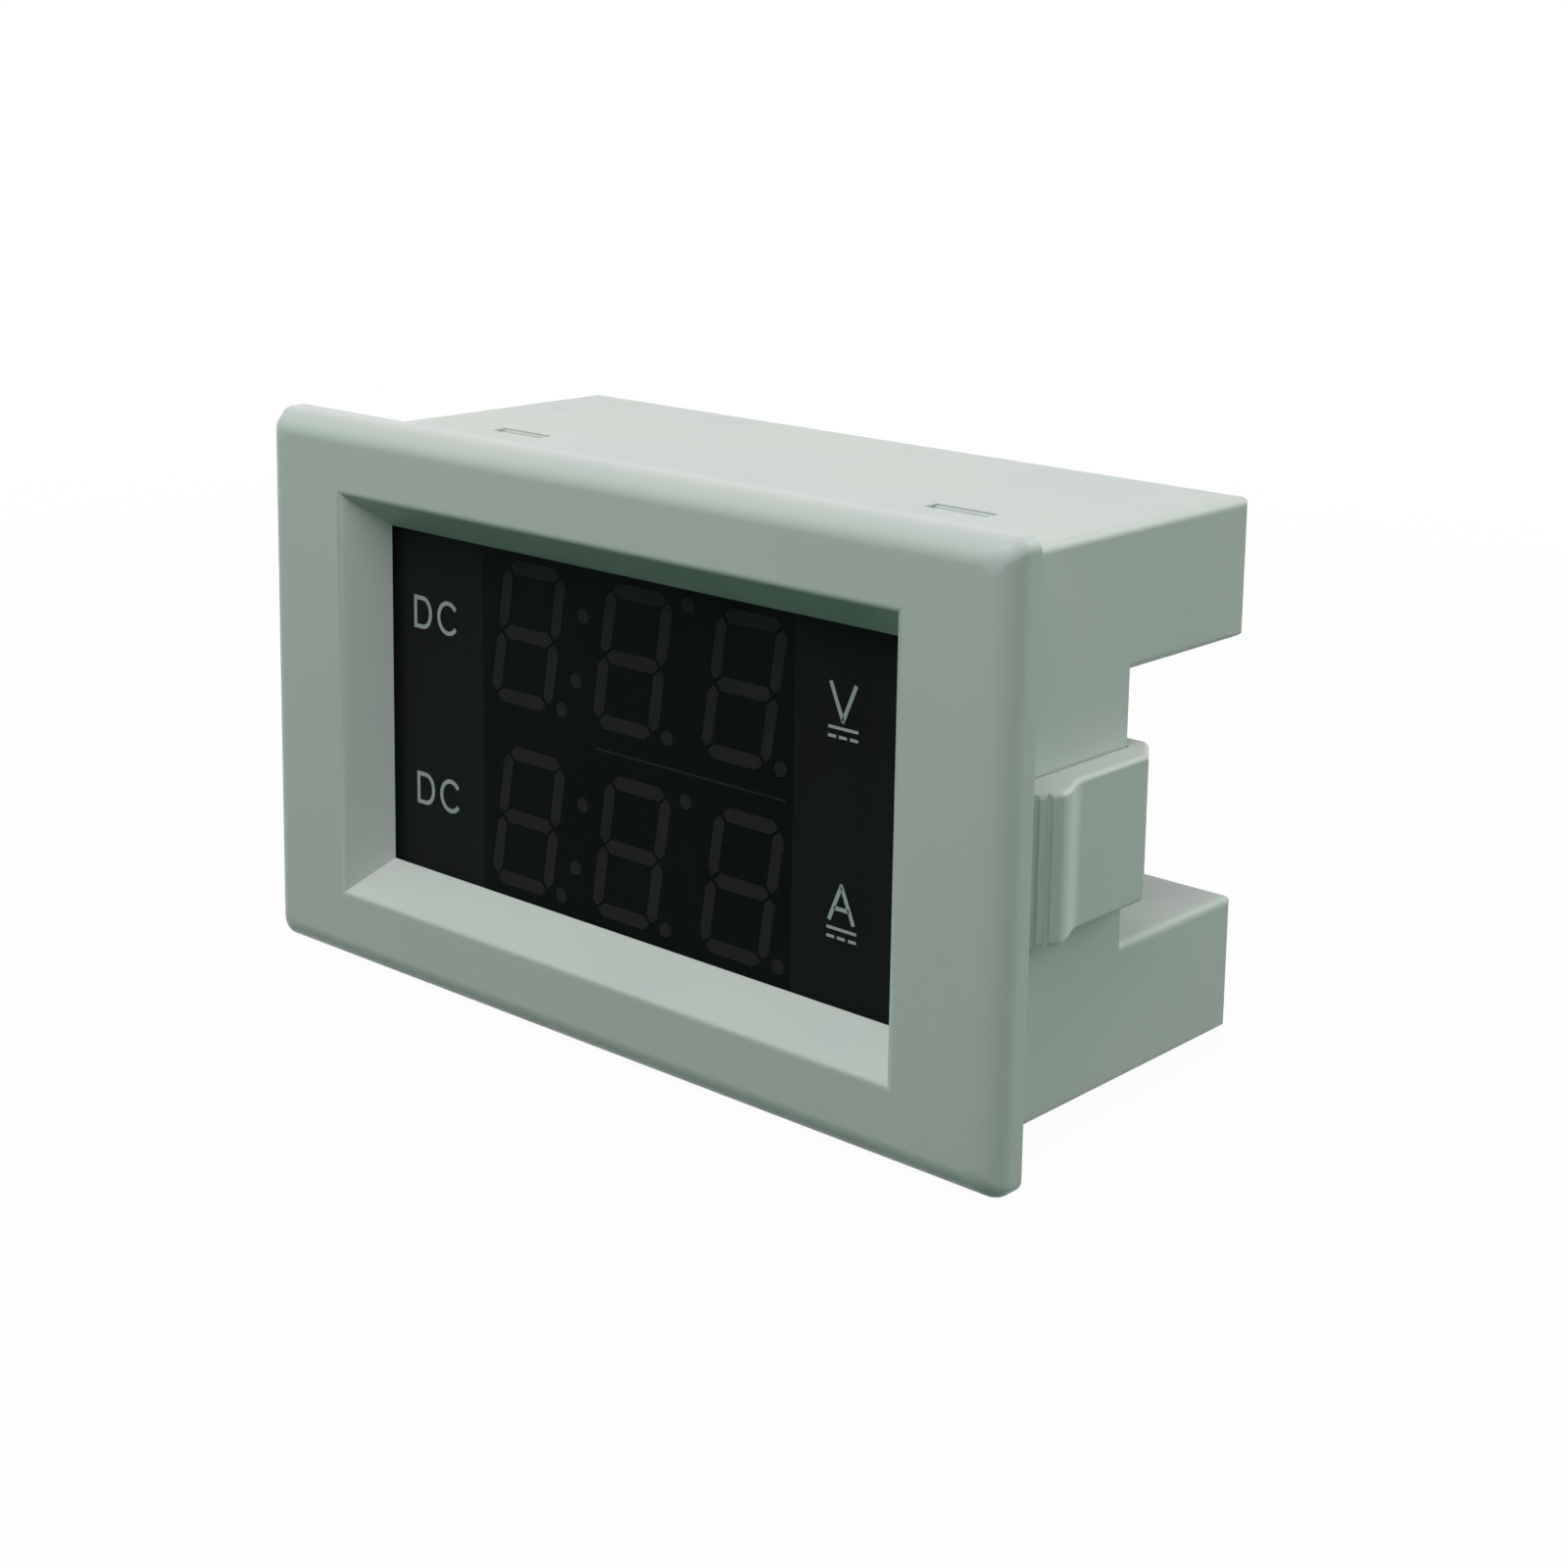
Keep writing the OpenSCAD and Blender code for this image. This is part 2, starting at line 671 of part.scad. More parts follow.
// The slot that the right clip's tongue runs in, and the teeth beside it
module clip_guide() translate([0, 0, -clip_drop]) {
    block([tongue_in - slide_fit, floor_front - cut, -guide_h / 2 - tongue_lip - slide_fit],
          [case_w / 2 - case_wall + eps, floor_back + cut, guide_h / 2 + tongue_lip + slide_fit]);
    block([case_w / 2 - case_wall - eps, guide_front, -guide_h / 2], [case_w / 2 + cut, floor_back + cut, guide_h / 2]);
    for (z = rows) mirror([0, 0, z < 0 ? 1 : 0])
        along_z(guide_h / 2 + rack_gap, guide_h / 2 + rack_gap + rack_h) rack();
}

module housing() {
    hook_low = hook_back - nose_d - 0.05;
    color("#d8dbd6") difference() {
        union() {
            difference() {
                intersection() {
                    along_x(-case_w / 2, case_w / 2) case_side_view();
                    case_body();
                    along_z(-case_h / 2, case_h / 2) case_top_view();
                }
                case_inside();
            }
            four(boss_x, boss_z) bar_y(boss_r, main_board_back, floor_front + eps);
        }
        for (x = sides, z = rows) mirror([0, 0, z < 0 ? 1 : 0]) translate([x * hook_x, 0, 0])
            block([-hook_w / 2 - 0.2, hook_low, skirt_h / 2], [hook_w / 2 + 0.2, hook_back - 0.5 + slit, case_h / 2 + cut]);
        for (x = sides) mirror([x < 0 ? 1 : 0, 0, 0]) clip_guide();
        block([-block_w / 2 - 0.25, floor_front - cut, -block_h / 2 - 0.25],
              [block_w / 2 + 0.25, floor_back + cut, block_h / 2 + 0.25]);
        for (x = sides) translate([x * trimmer_x, 0, 0]) bar_y(rotor_r + 0.2, floor_front - cut, floor_back + cut);
        four(boss_x, boss_z) bar_y(pilot_r + shank_fit, main_board_back - cut, main_board_back + board_bite + 0.3);
    }
}

// ---- Side clips ----------------------------------------------------------------------------

// Top view of the right clip: a thick foot at the front, a hollow slope, the grip plate, a slanted
// heel and a finger behind the wall
module clip_outline() {
    steps = 8;
    crest = clip_out + foot_rise;
    slope = [for (i = [0:steps]) [clip_out + foot_rise * (1 + cos(180 * i / steps)) / 2,
                                  crest_y + crest_flat + foot_slope * i / steps]];
    polygon(concat([[case_w / 2 - finger_in, panel_min], [clip_in + foot_nose, panel_min], [crest, crest_y]], slope,
                   [[clip_out, finger_back - heel], [clip_in + 0.2, finger_back], [case_w / 2 - finger_in, finger_back]]));
}

// The right clip. It slides along Y.
module clip() translate([0, 0, -clip_drop]) {
    r = clip_edge_r;
    half = clip_h / 2;
    face_slope = (clip_out + foot_rise - clip_in - foot_nose) / (crest_y - panel_min);
    difference() {
        minkowski() {
            along_z(-half + r, half - r) offset(delta = -r) clip_outline();
            sphere(r, $fn = 16);
        }
        block([0, 0, -clip_h], [clip_in, finger_front, clip_h]);
        // Two grooves down the foot's slanted face
        for (y = grooves) translate([clip_in + foot_nose + y * face_slope, panel_min + y, -clip_h])
            cylinder(r = groove_r, h = 2 * clip_h, $fn = 16);
    }
    // The neck and the tongue
    block([tongue_in + tongue_t - eps, tongue_front, -guide_h / 2 + slide_fit],
          [clip_in + eps, tongue_back, guide_h / 2 - slide_fit]);
    block([tongue_in, tongue_front, -guide_h / 2 - tongue_lip],
          [tongue_in + tongue_t, tongue_back, guide_h / 2 + tongue_lip]);
}

module clip_right() { color("#d8dbd6") clip(); }
module clip_left() { color("#d8dbd6") mirror([1, 0, 0]) clip(); }

// ---- Terminals -----------------------------------------------------------------------------

module terminal_block() {
    half = block_h / 2;
    color("#1d1f20") difference() {
        union() {
            block([-block_w / 2, main_board_back, -half], [block_w / 2, deck, half]);
            for (i = [0:POLES]) translate([(i - POLES / 2) * pole_pitch, 0, 0])
                along_x(-barrier_t / 2, barrier_t / 2) polygon([
                    [deck - eps, -half], [barrier_top - 2, -half], [barrier_top, -half + 1.6],
                    [barrier_top, half - 1.6], [barrier_top - 2, half], [deck - eps, half]]);
        }
        for (i = [1:POLES]) translate([pole_x(i), 0, 0]) {
            bar_y(collar_r + part_fit, shank_end - 0.4, deck + cut);
            block([-0.6, main_board_back - cut, tail_z - 0.5], [0.6, deck + cut, tail_z + 0.5]);
        }
    }
}

module terminal_contact(i) {
    color("#c8b98a") translate([pole_x(i), 0, 0]) {
        difference() {
            union() {
                block([-contact_w / 2, deck, tail_z - 0.9], [contact_w / 2, deck + contact_t, block_h / 2 - 1]);
                bar_y(collar_r, deck - collar_d, deck + eps);
            }
            bar_y(screw_d / 2 + shank_fit, deck - collar_d - cut, deck + contact_t + cut);
        }
        block([-0.5, main_board_front - pin_end, tail_z - 0.4], [0.5, deck + eps, tail_z + 0.4]);
    }
}

// A square washer with two turned-up edges
module clamp_plate(i) {
    half = clamp_w / 2;
    color("#c9ccce") translate([pole_x(i), 0, 0]) difference() {
        union() {
            block([-half, clamp_front, -half], [half, clamp_front + clamp_t, half]);
            for (z = rows) mirror([0, 0, z < 0 ? 1 : 0])
                block([-half, clamp_front, half - eps], [half, clamp_front + clamp_t + 0.6, half + 0.5]);
        }
        bar_y(screw_d / 2 + shank_fit, clamp_front - cut, clamp_front + clamp_t + cut);
    }
}

// A pan-head screw with a slot and a cross
module terminal_screw(i) {
    r = head_d / 2;
    back = head_front + head_h;
    color("#c9ccce") translate([pole_x(i), 0, 0]) {
        difference() {
            translate([0, head_front, 0]) rotate([-90, 0, 0]) rotate_extrude()
                polygon(concat([[0, 0], [r, 0], [r, head_h * 0.45]],
                               [for (a = [15:15:75]) [r - 0.7 + 0.7 * cos(a), head_h * 0.45 + head_h * 0.55 * sin(a)]],
                               [[r - 0.7, head_h], [0, head_h]]));
            block([-r, back - 0.8, -0.35], [r, back + cut, 0.35]);
            block([-0.35, back - 1.1, -1.4], [0.35, back + cut, 1.4]);
        }
        bar_y(screw_d / 2, shank_end, head_front + eps);
    }
}

// ---- Assembly ------------------------------------------------------------------------------

bezel();
lens_window();
volt_display();
amp_display();
display_board();
display_screws();
header_left();
header_right();
main_board();
board_screws();
controller_chip();
supply_capacitor_1();
supply_capacitor_2();
supply_inductor();
voltage_regulator();
input_capacitor();
current_shunt();
volt_trimmer();
amp_trimmer();
volt_trimmer_rotor();
amp_trimmer_rotor();
housing();
clip_left();
clip_right();
terminal_block();
for (i = [1:POLES]) {
    terminal_contact(i);
    clamp_plate(i);
    terminal_screw(i);
}
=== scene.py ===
"""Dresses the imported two-row digital panel meter: finishes, printed signs, segments and fine parts.

X runs across the face, Y runs back through the panel and Z runs up. The bmesh work is done in
millimetres and each finished mesh is brought to metres once, by its own piece function.
"""

import math

import bmesh
import bpy
from bpy.props import FloatProperty, FloatVectorProperty, PointerProperty
from mathutils import Matrix, Vector


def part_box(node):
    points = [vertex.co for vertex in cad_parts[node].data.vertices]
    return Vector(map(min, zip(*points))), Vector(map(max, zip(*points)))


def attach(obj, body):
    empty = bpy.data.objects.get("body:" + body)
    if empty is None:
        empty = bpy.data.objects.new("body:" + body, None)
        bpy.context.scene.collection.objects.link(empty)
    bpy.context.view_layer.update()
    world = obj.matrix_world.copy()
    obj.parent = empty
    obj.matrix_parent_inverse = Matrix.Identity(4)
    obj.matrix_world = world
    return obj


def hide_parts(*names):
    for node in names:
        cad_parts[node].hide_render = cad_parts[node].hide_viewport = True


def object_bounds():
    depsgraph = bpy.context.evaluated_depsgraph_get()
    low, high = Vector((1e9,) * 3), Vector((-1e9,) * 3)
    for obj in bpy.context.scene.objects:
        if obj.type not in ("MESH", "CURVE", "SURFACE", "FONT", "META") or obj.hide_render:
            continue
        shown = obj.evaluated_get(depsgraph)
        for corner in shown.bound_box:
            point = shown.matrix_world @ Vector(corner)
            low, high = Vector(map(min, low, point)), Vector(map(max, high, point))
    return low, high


bl_info = {
    "name": "Digital Panel Meter",
    "version": (1, 0, 0),
    "blender": (4, 5, 0),
    "location": "3D Viewport > Sidebar > Meter",
    "description": "Dresses a two-row digital panel meter",
    "category": "Object",
}

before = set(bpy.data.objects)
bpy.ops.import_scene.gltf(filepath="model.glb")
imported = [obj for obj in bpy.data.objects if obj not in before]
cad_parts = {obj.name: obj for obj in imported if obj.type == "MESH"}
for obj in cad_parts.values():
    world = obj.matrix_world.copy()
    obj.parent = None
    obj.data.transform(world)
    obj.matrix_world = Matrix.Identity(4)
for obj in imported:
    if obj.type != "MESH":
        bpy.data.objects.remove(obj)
cad_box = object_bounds()

MM = 0.001
POLES = range(1, 7)
SIDES = ("left", "right")
ROWS = ("volt", "amp")


def linear(hex_colour):
    """An sRGB hex colour as linear red, green and blue."""
    values = [int(hex_colour[i:i + 2], 16) / 255 for i in (1, 3, 5)]
    return [v / 12.92 if v <= 0.04045 else ((v + 0.055) / 1.055) ** 2.4 for v in values]


def rgba(colour):
    """A linear colour with full alpha."""
    return (*colour, 1)


def box_mm(node):
    """Lowest and highest corner of a CAD node, in millimetres."""
    low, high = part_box(node)
    return low / MM, high / MM


def middle_mm(node):
    """Middle of a CAD node's box, in millimetres."""
    low, high = box_mm(node)
    return (low + high) / 2


# ---------------------------------------------------------------- settings


class MeterFinish(bpy.types.PropertyGroup):
    """Colours and surface sizes that a user would change."""

    case_colour: FloatVectorProperty(
        name="Case", description="Colour of the moulded bezel, housing and clips",
        subtype="COLOR", min=0, max=1, default=linear("#CFD4D1"))
    window_colour: FloatVectorProperty(
        name="Window", description="Colour of the smoked window",
        subtype="COLOR", min=0, max=1, default=linear("#161A1D"))
    window_density: FloatProperty(
        name="Window density", description="Share of the light that each face of the window holds back",
        subtype="FACTOR", min=0, max=1, default=0.54)
    sign_colour: FloatVectorProperty(
        name="Signs", description="Colour of the printed signs",
        subtype="COLOR", min=0, max=1, default=linear("#AFB5B3"))
    segment_colour: FloatVectorProperty(
        name="Segments", description="Colour of the unlit display segments",
        subtype="COLOR", min=0, max=1, default=linear("#BBB5AA"))
    board_colour: FloatVectorProperty(
        name="Boards", description="Colour of the circuit boards' solder mask",
        subtype="COLOR", min=0, max=1, default=linear("#1E5A38"))
    case_grain: FloatProperty(
        name="Case grain", description="Grain of the spark-eroded mould face",
        unit="LENGTH", min=0.0001, max=0.002, default=0.0003, precision=5)
    edge_break: FloatProperty(
        name="Edge break", description="Rounding of the case's sharp edges",
        unit="LENGTH", min=0.00002, max=0.0004, default=0.00012, precision=5)


class MeterSizes(bpy.types.PropertyGroup):
    """Sizes of what is printed on the window and laid in the displays."""

    sign_height: FloatProperty(
        name="DC height", description="Height of the two DC signs, between their strokes' middles",
        unit="LENGTH", min=0.001, max=0.006, default=0.0026, precision=5)
    unit_height: FloatProperty(
        name="Unit height", description="Height of the V and A signs, between their strokes' middles",
        unit="LENGTH", min=0.001, max=0.006, default=0.003, precision=5)
    stroke: FloatProperty(
        name="Stroke", description="Width of the printed strokes",
        unit="LENGTH", min=0.0002, max=0.0008, default=0.00038, precision=5)
    digit_height: FloatProperty(
        name="Digit height", description="Distance between the top and bottom segments",
        unit="LENGTH", min=0.008, max=0.013, default=0.0116, precision=5)
    digit_width: FloatProperty(
        name="Digit width", description="Distance between the left and right segments",
        unit="LENGTH", min=0.004, max=0.008, default=0.0065, precision=5)
    digit_pitch: FloatProperty(
        name="Digit pitch", description="Distance from digit to digit",
        unit="LENGTH", min=0.01, max=0.014, default=0.0126, precision=5)
    segment_width: FloatProperty(
        name="Segment width", description="Width of one segment",
        unit="LENGTH", min=0.0008, max=0.0018, default=0.0013, precision=5)


# ---------------------------------------------------------------- materials


def add(tree, kind, inputs=None, **settings):
    """Adds a node: inputs gives sockets a value or another node's output."""
    node = tree.nodes.new("ShaderNode" + kind)
    for name, value in settings.items():
        setattr(node, name, value)
    for socket, value in (inputs or {}).items():
        if isinstance(value, bpy.types.NodeSocket):
            tree.links.new(value, node.inputs[socket])
        else:
            node.inputs[socket].default_value = value
    return node


SOCKETS = {"ior": "IOR", "alpha": "Alpha", "metallic": "Metallic",
           "specular": "Specular IOR Level", "coat": "Coat Weight"}
CRISP = {"From Min": 0.3, "From Max": 0.7}    # spreads the middle of a noise over its whole range


def new_material(name, colour, roughness, **sockets):
    """A material with one Principled shader, its node tree and the object's coordinates."""
    material = bpy.data.materials.new(name)
    material.use_nodes = True
    tree = material.node_tree
    tree.nodes.clear()
    shader = add(tree, "BsdfPrincipled", {"Base Color": rgba(colour), "Roughness": roughness})
    for key, value in sockets.items():
        shader.inputs[SOCKETS[key]].default_value = value
    add(tree, "OutputMaterial", {"Surface": shader.outputs["BSDF"]})
    place = add(tree, "TexCoord").outputs["Object"]
    return material, tree, shader, place


def feed(shader, socket, output):
    """Links an output to one of the shader's sockets."""
    shader.id_data.links.new(output, shader.inputs[socket])


def blend(tree, shader, factor, first, second, crisp=False):
    """Lets the shader's colour drift from a first to a second colour or colour output."""
    if crisp:
        factor = add(tree, "MapRange", {"Value": factor, **CRISP}).outputs["Result"]
    inputs = {"Factor": factor}
    for socket, colour in (("A", first), ("B", second)):
        inputs[socket] = colour if isinstance(colour, bpy.types.NodeSocket) else rgba(colour)
    mixed = add(tree, "Mix", inputs, data_type="RGBA").outputs[2]
    feed(shader, "Base Color", mixed)
    return mixed


def vary_gloss(tree, shader, lumps, low, high):
    """Lets the shader's roughness follow a pattern from low to high."""
    spread = add(tree, "MapRange", {"Value": lumps, **CRISP, "To Min": low, "To Max": high})
    feed(shader, "Roughness", spread.outputs["Result"])


def darker(colour, depth):
    """A colour with a share of its light taken away."""
    return [c * (1 - depth) for c in colour]


def moulded_abs(name, colour, grain, roughness):
    """ABS moulded in a spark-eroded tool: an even satin whose highlights break up in fine grain."""
    material, tree, shader, place = new_material(name, colour, roughness, ior=1.53, specular=0.3)
    warm = [colour[0] * 1.012, colour[1] * 0.995, colour[2] * 0.965]
    flow = add(tree, "TexNoise", {"Vector": place, "Scale": 1 / (18 * MM), "Detail": 3}).outputs["Fac"]
    blend(tree, shader, flow, darker(colour, 0.03), warm, crisp=True)
    wipes = add(tree, "TexNoise", {"Vector": place, "Scale": 1 / (6 * MM), "Detail": 4}).outputs["Fac"]
    vary_gloss(tree, shader, wipes, roughness - 0.04, roughness + 0.05)
    pits = add(tree, "TexNoise", {"Vector": place, "Scale": 1 / grain}).outputs["Fac"]
    raised = add(tree, "Bump", {"Height": pits, "Distance": grain * 0.03, "Strength": 0.35})
    feed(shader, "Normal", raised.outputs["Normal"])
    return material


def smoked_acrylic(settings):
    """Smoked acrylic sheet: nearly black at a glance, with what lies behind just showing through."""
    colour = settings.window_colour
    material, tree, shader, place = new_material(
        "smoked_acrylic", colour, 0.1, ior=1.49, alpha=settings.window_density, specular=0.03)
    haze = add(tree, "TexNoise", {"Vector": place, "Scale": 1 / (12 * MM)}).outputs["Fac"]
    blend(tree, shader, haze, colour, darker(colour, 0.25), crisp=True)
    return material


def thin_layer(name, first, second, size, roughness, crisp=False, **sockets):
    """Ink or resin laid in a thin film: even, with a faint drift where it lies thinner."""
    material, tree, shader, place = new_material(name, second, roughness, **sockets)
    film = add(tree, "TexNoise", {"Vector": place, "Scale": 1 / size}).outputs["Fac"]
    blend(tree, shader, film, first, second, crisp)
    return material


def plain_finish(name, hex_colour, roughness, metallic=0.0, size=2 * MM, depth=0.06, **sockets):
    """A smooth finish with faint clouding in its colour and gloss."""
    colour = linear(hex_colour)
    material, tree, shader, place = new_material(
        name, colour, roughness, metallic=metallic, **sockets)
    clouds = add(tree, "TexNoise", {"Vector": place, "Scale": 1 / size, "Detail": 3}).outputs["Fac"]
    blend(tree, shader, clouds, darker(colour, depth), colour)
    vary_gloss(tree, shader, clouds, roughness * 0.85, roughness * 1.15)
    return material


def turned_metal(name, hex_colour, roughness, grit):
    """Plated metal as it leaves the machine: fine running marks, bright with darker streaks."""
    colour = linear(hex_colour)
    material, tree, shader, place = new_material(name, colour, roughness, metallic=1.0)
    drawn = add(tree, "Mapping", {"Vector": place, "Scale": (1, 0.12, 1)}).outputs["Vector"]
    marks = add(tree, "TexNoise", {"Vector": drawn, "Scale": 1 / grit, "Detail": 3}).outputs["Fac"]
    blend(tree, shader, marks, darker(colour, 0.18), colour, crisp=True)
    vary_gloss(tree, shader, marks, roughness * 0.8, roughness * 1.3)
    raised = add(tree, "Bump", {"Height": marks, "Distance": grit * 0.04, "Strength": 0.3})
    feed(shader, "Normal", raised.outputs["Normal"])
    return material


def solder_mask(colour):
    """Solder mask over etched copper: glossy green, paler where the tracks run under it."""
    material, tree, shader, place = new_material("solder_mask", colour, 0.28, ior=1.5)
    laid = add(tree, "Mapping", {"Vector": place, "Rotation": (math.pi / 2, 0, 0)}).outputs["Vector"]
    tracks = add(tree, "TexBrick", {
        "Vector": laid, "Color1": (0, 0, 0, 1), "Color2": (0, 0, 0, 1), "Mortar": (1, 1, 1, 1),
        "Scale": 1.0, "Mortar Size": 0.22 * MM, "Brick Width": 5.1 * MM,
        "Row Height": 1.9 * MM}).outputs["Fac"]
    weave = add(tree, "TexNoise", {"Vector": place, "Scale": 1 / (3 * MM), "Detail": 3}).outputs["Fac"]
    ground = blend(tree, shader, weave, darker(colour, 0.25), colour)
    blend(tree, shader, tracks, ground, [colour[0] * 1.5, colour[1] * 1.5, colour[2] * 1.3])
    raised = add(tree, "Bump", {"Height": tracks, "Distance": 0.04 * MM, "Strength": 0.4})
    feed(shader, "Normal", raised.outputs["Normal"])
    return material


def capacitor_sleeve(node):
    """Shrunk vinyl sleeve: dark blue with a pale stripe down one side and a bare aluminium top."""
    vinyl = linear("#1B2B4A")
    stripe_x = 2.2 * MM    # from the can's middle to the edge of its stripe
    lid_depth = 0.5        # millimetres of bare top
    material, tree, shader, place = new_material(f"{node}_sleeve", vinyl, 0.32, coat=0.2)
    centre = middle_mm(node) * MM
    seat = add(tree, "Mapping", {"Vector": place, "Location": tuple(-centre)}).outputs["Vector"]
    axes = add(tree, "SeparateXYZ", {"Vector": seat}).outputs
    stripe = add(tree, "Math", {0: axes["X"], 1: stripe_x}, operation="GREATER_THAN").outputs[0]
    top = (box_mm(node)[1].y - lid_depth) * MM - centre.y
    lid = add(tree, "Math", {0: axes["Y"], 1: top}, operation="GREATER_THAN").outputs[0]
    banded = blend(tree, shader, stripe, vinyl, linear("#B9C2CC"))
    blend(tree, shader, lid, banded, linear("#D2D3D2"))
    feed(shader, "Metallic", lid)
    return material


# ---------------------------------------------------------------- mesh work


def soften(mesh):
    """Smooth shading, with edges over 30 degrees kept sharp."""
    bm = bmesh.new()
    bm.from_mesh(mesh)
    for face in bm.faces:
        face.smooth = True
    for edge in bm.edges:
        edge.smooth = len(edge.link_faces) == 2 and edge.calc_face_angle(0) < math.radians(30)
    bm.to_mesh(mesh)
    bm.free()


def new_piece(mesh, name, body, finish):
    """An object for a finished mesh that rides on a body."""
    soften(mesh)
    mesh.materials.append(finish)
    made = bpy.data.objects.new(name, mesh)
    bpy.context.scene.collection.objects.link(made)
    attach(made, body)
    return made


def piece(bm, name, body, finish):
    """Makes a bmesh in millimetres a piece that rides on a body."""
    bmesh.ops.remove_doubles(bm, verts=bm.verts, dist=0.0005)
    bmesh.ops.recalc_face_normals(bm, faces=bm.faces)
    bmesh.ops.scale(bm, vec=(MM, MM, MM), verts=bm.verts)
    mesh = bpy.data.meshes.new(name)
    bm.to_mesh(mesh)
    bm.free()
    return new_piece(mesh, name, body, finish)


def smooth_skin(node, name, body, finish, edge_break=0.0):
    """A merged and smooth-shaded copy of a CAD node that stands for it."""
    bm = bmesh.new()
    bm.from_mesh(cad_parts[node].data)
    bmesh.ops.remove_doubles(bm, verts=bm.verts, dist=1e-6)
    bmesh.ops.dissolve_limit(bm, angle_limit=math.radians(0.4), use_dissolve_boundaries=False,
                             verts=bm.verts, edges=bm.edges, delimit={"NORMAL"})
    mesh = bpy.data.meshes.new(name)
    bm.to_mesh(mesh)
    bm.free()
    made = new_piece(mesh, name, body, finish)
    if edge_break:
        rounding = made.modifiers.new("edge_break", "BEVEL")
        rounding.width = edge_break
        rounding.segments = 2
        rounding.limit_method = "ANGLE"
        rounding.angle_limit = math.radians(40)
    flats = made.modifiers.new("flats", "WEIGHTED_NORMAL")
    flats.mode = "FACE_AREA"
    flats.weight = 100
    flats.keep_sharp = True
    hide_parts(node)
    return made


def dress(node, finish):
    """Gives a CAD node that stays a finish."""
    for material_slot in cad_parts[node].material_slots:
        material_slot.material = finish


def block(bm, low, high):
    """A box between two corners."""
    low, high = Vector(low), Vector(high)
    place = Matrix.Translation((low + high) / 2) @ Matrix.Diagonal((*(high - low), 1))
    bmesh.ops.create_cube(bm, size=1, matrix=place)


def thicken(bm, faces, front, back):
    """Extrudes flat faces from front to back."""
    grown = bmesh.ops.extrude_face_region(bm, geom=faces)["geom"]
    verts = [v for v in grown if isinstance(v, bmesh.types.BMVert)]
    bmesh.ops.translate(bm, vec=(0, back - front, 0), verts=verts)


def slab(bm, corners, front, back):
    """A flat outline in X and Z, extruded from front to back."""
    thicken(bm, [bm.faces.new([bm.verts.new((x, front, z)) for x, z in corners])], front, back)


def disc(bm, x, z, radius, front, back):
    """A round rod along Y."""
    place = Matrix.Translation((x, (front + back) / 2, z)) @ Matrix.Rotation(-math.pi / 2, 4, "X")
    bmesh.ops.create_cone(bm, cap_ends=True, segments=24, radius1=radius, radius2=radius,
                          depth=back - front, matrix=place)


def arc(centre, radii, start, end, steps=14):
    """Points on an ellipse in X and Z, by angle in degrees."""
    turns = [math.radians(start + (end - start) * i / steps) for i in range(steps + 1)]
    return [(centre[0] + radii[0] * math.cos(a), centre[1] + radii[1] * math.sin(a)) for a in turns]


def pen_stroke(bm, points, width, layer, closed=False):
    """A printed line of even width through points in X and Z."""
    points = [Vector(p) for p in points]
    count = len(points)
    pairs = []
    for i, point in enumerate(points):
        before = points[i - 1] if closed or i else point
        after = points[(i + 1) % count] if closed or i < count - 1 else point
        ways = [way.normalized() for way in (point - before, after - point) if way.length > 1e-6]
        across = sum(ways, Vector((0, 0))).orthogonal().normalized()
        reach = width / 2 / max(0.3, abs(across.dot(ways[0].orthogonal())))
        pairs.append([bm.verts.new((p.x, layer[0], p.y))
                      for p in (point + across * reach, point - across * reach)])
    links = list(zip(pairs, pairs[1:] + pairs[:1])) if closed else list(zip(pairs, pairs[1:]))
    thicken(bm, [bm.faces.new((a[0], b[0], b[1], a[1])) for a, b in links], *layer)


def lettering(bm, words, x, z, height, front, back):
    """Adds upright lettering that is read from behind, centred on x, its foot at z."""
    curve = bpy.data.curves.new("lettering", "FONT")
    curve.body = words
    flat = bpy.data.objects.new("lettering", curve)
    bpy.context.scene.collection.objects.link(flat)
    bpy.context.view_layer.update()
    outline = bmesh.new()
    outline.from_mesh(flat.to_mesh())
    bpy.data.objects.remove(flat)
    bpy.data.curves.remove(curve)
    low = Vector([min(v.co[i] for v in outline.verts) for i in range(3)])
    high = Vector([max(v.co[i] for v in outline.verts) for i in range(3)])
    scale = height / (high.y - low.y)
    place = Matrix(((-scale, 0, 0, x + (low.x + high.x) / 2 * scale), (0, 0, 1, back),
                    (0, scale, 0, z - low.y * scale), (0, 0, 0, 1)))
    outline.transform(place)
    thicken(outline, outline.faces[:], back, front)
    flat_mesh = bpy.data.meshes.new("lettering")
    outline.to_mesh(flat_mesh)
    outline.free()
    bm.from_mesh(flat_mesh)
    bpy.data.meshes.remove(flat_mesh)


# ---------------------------------------------------------------- operators


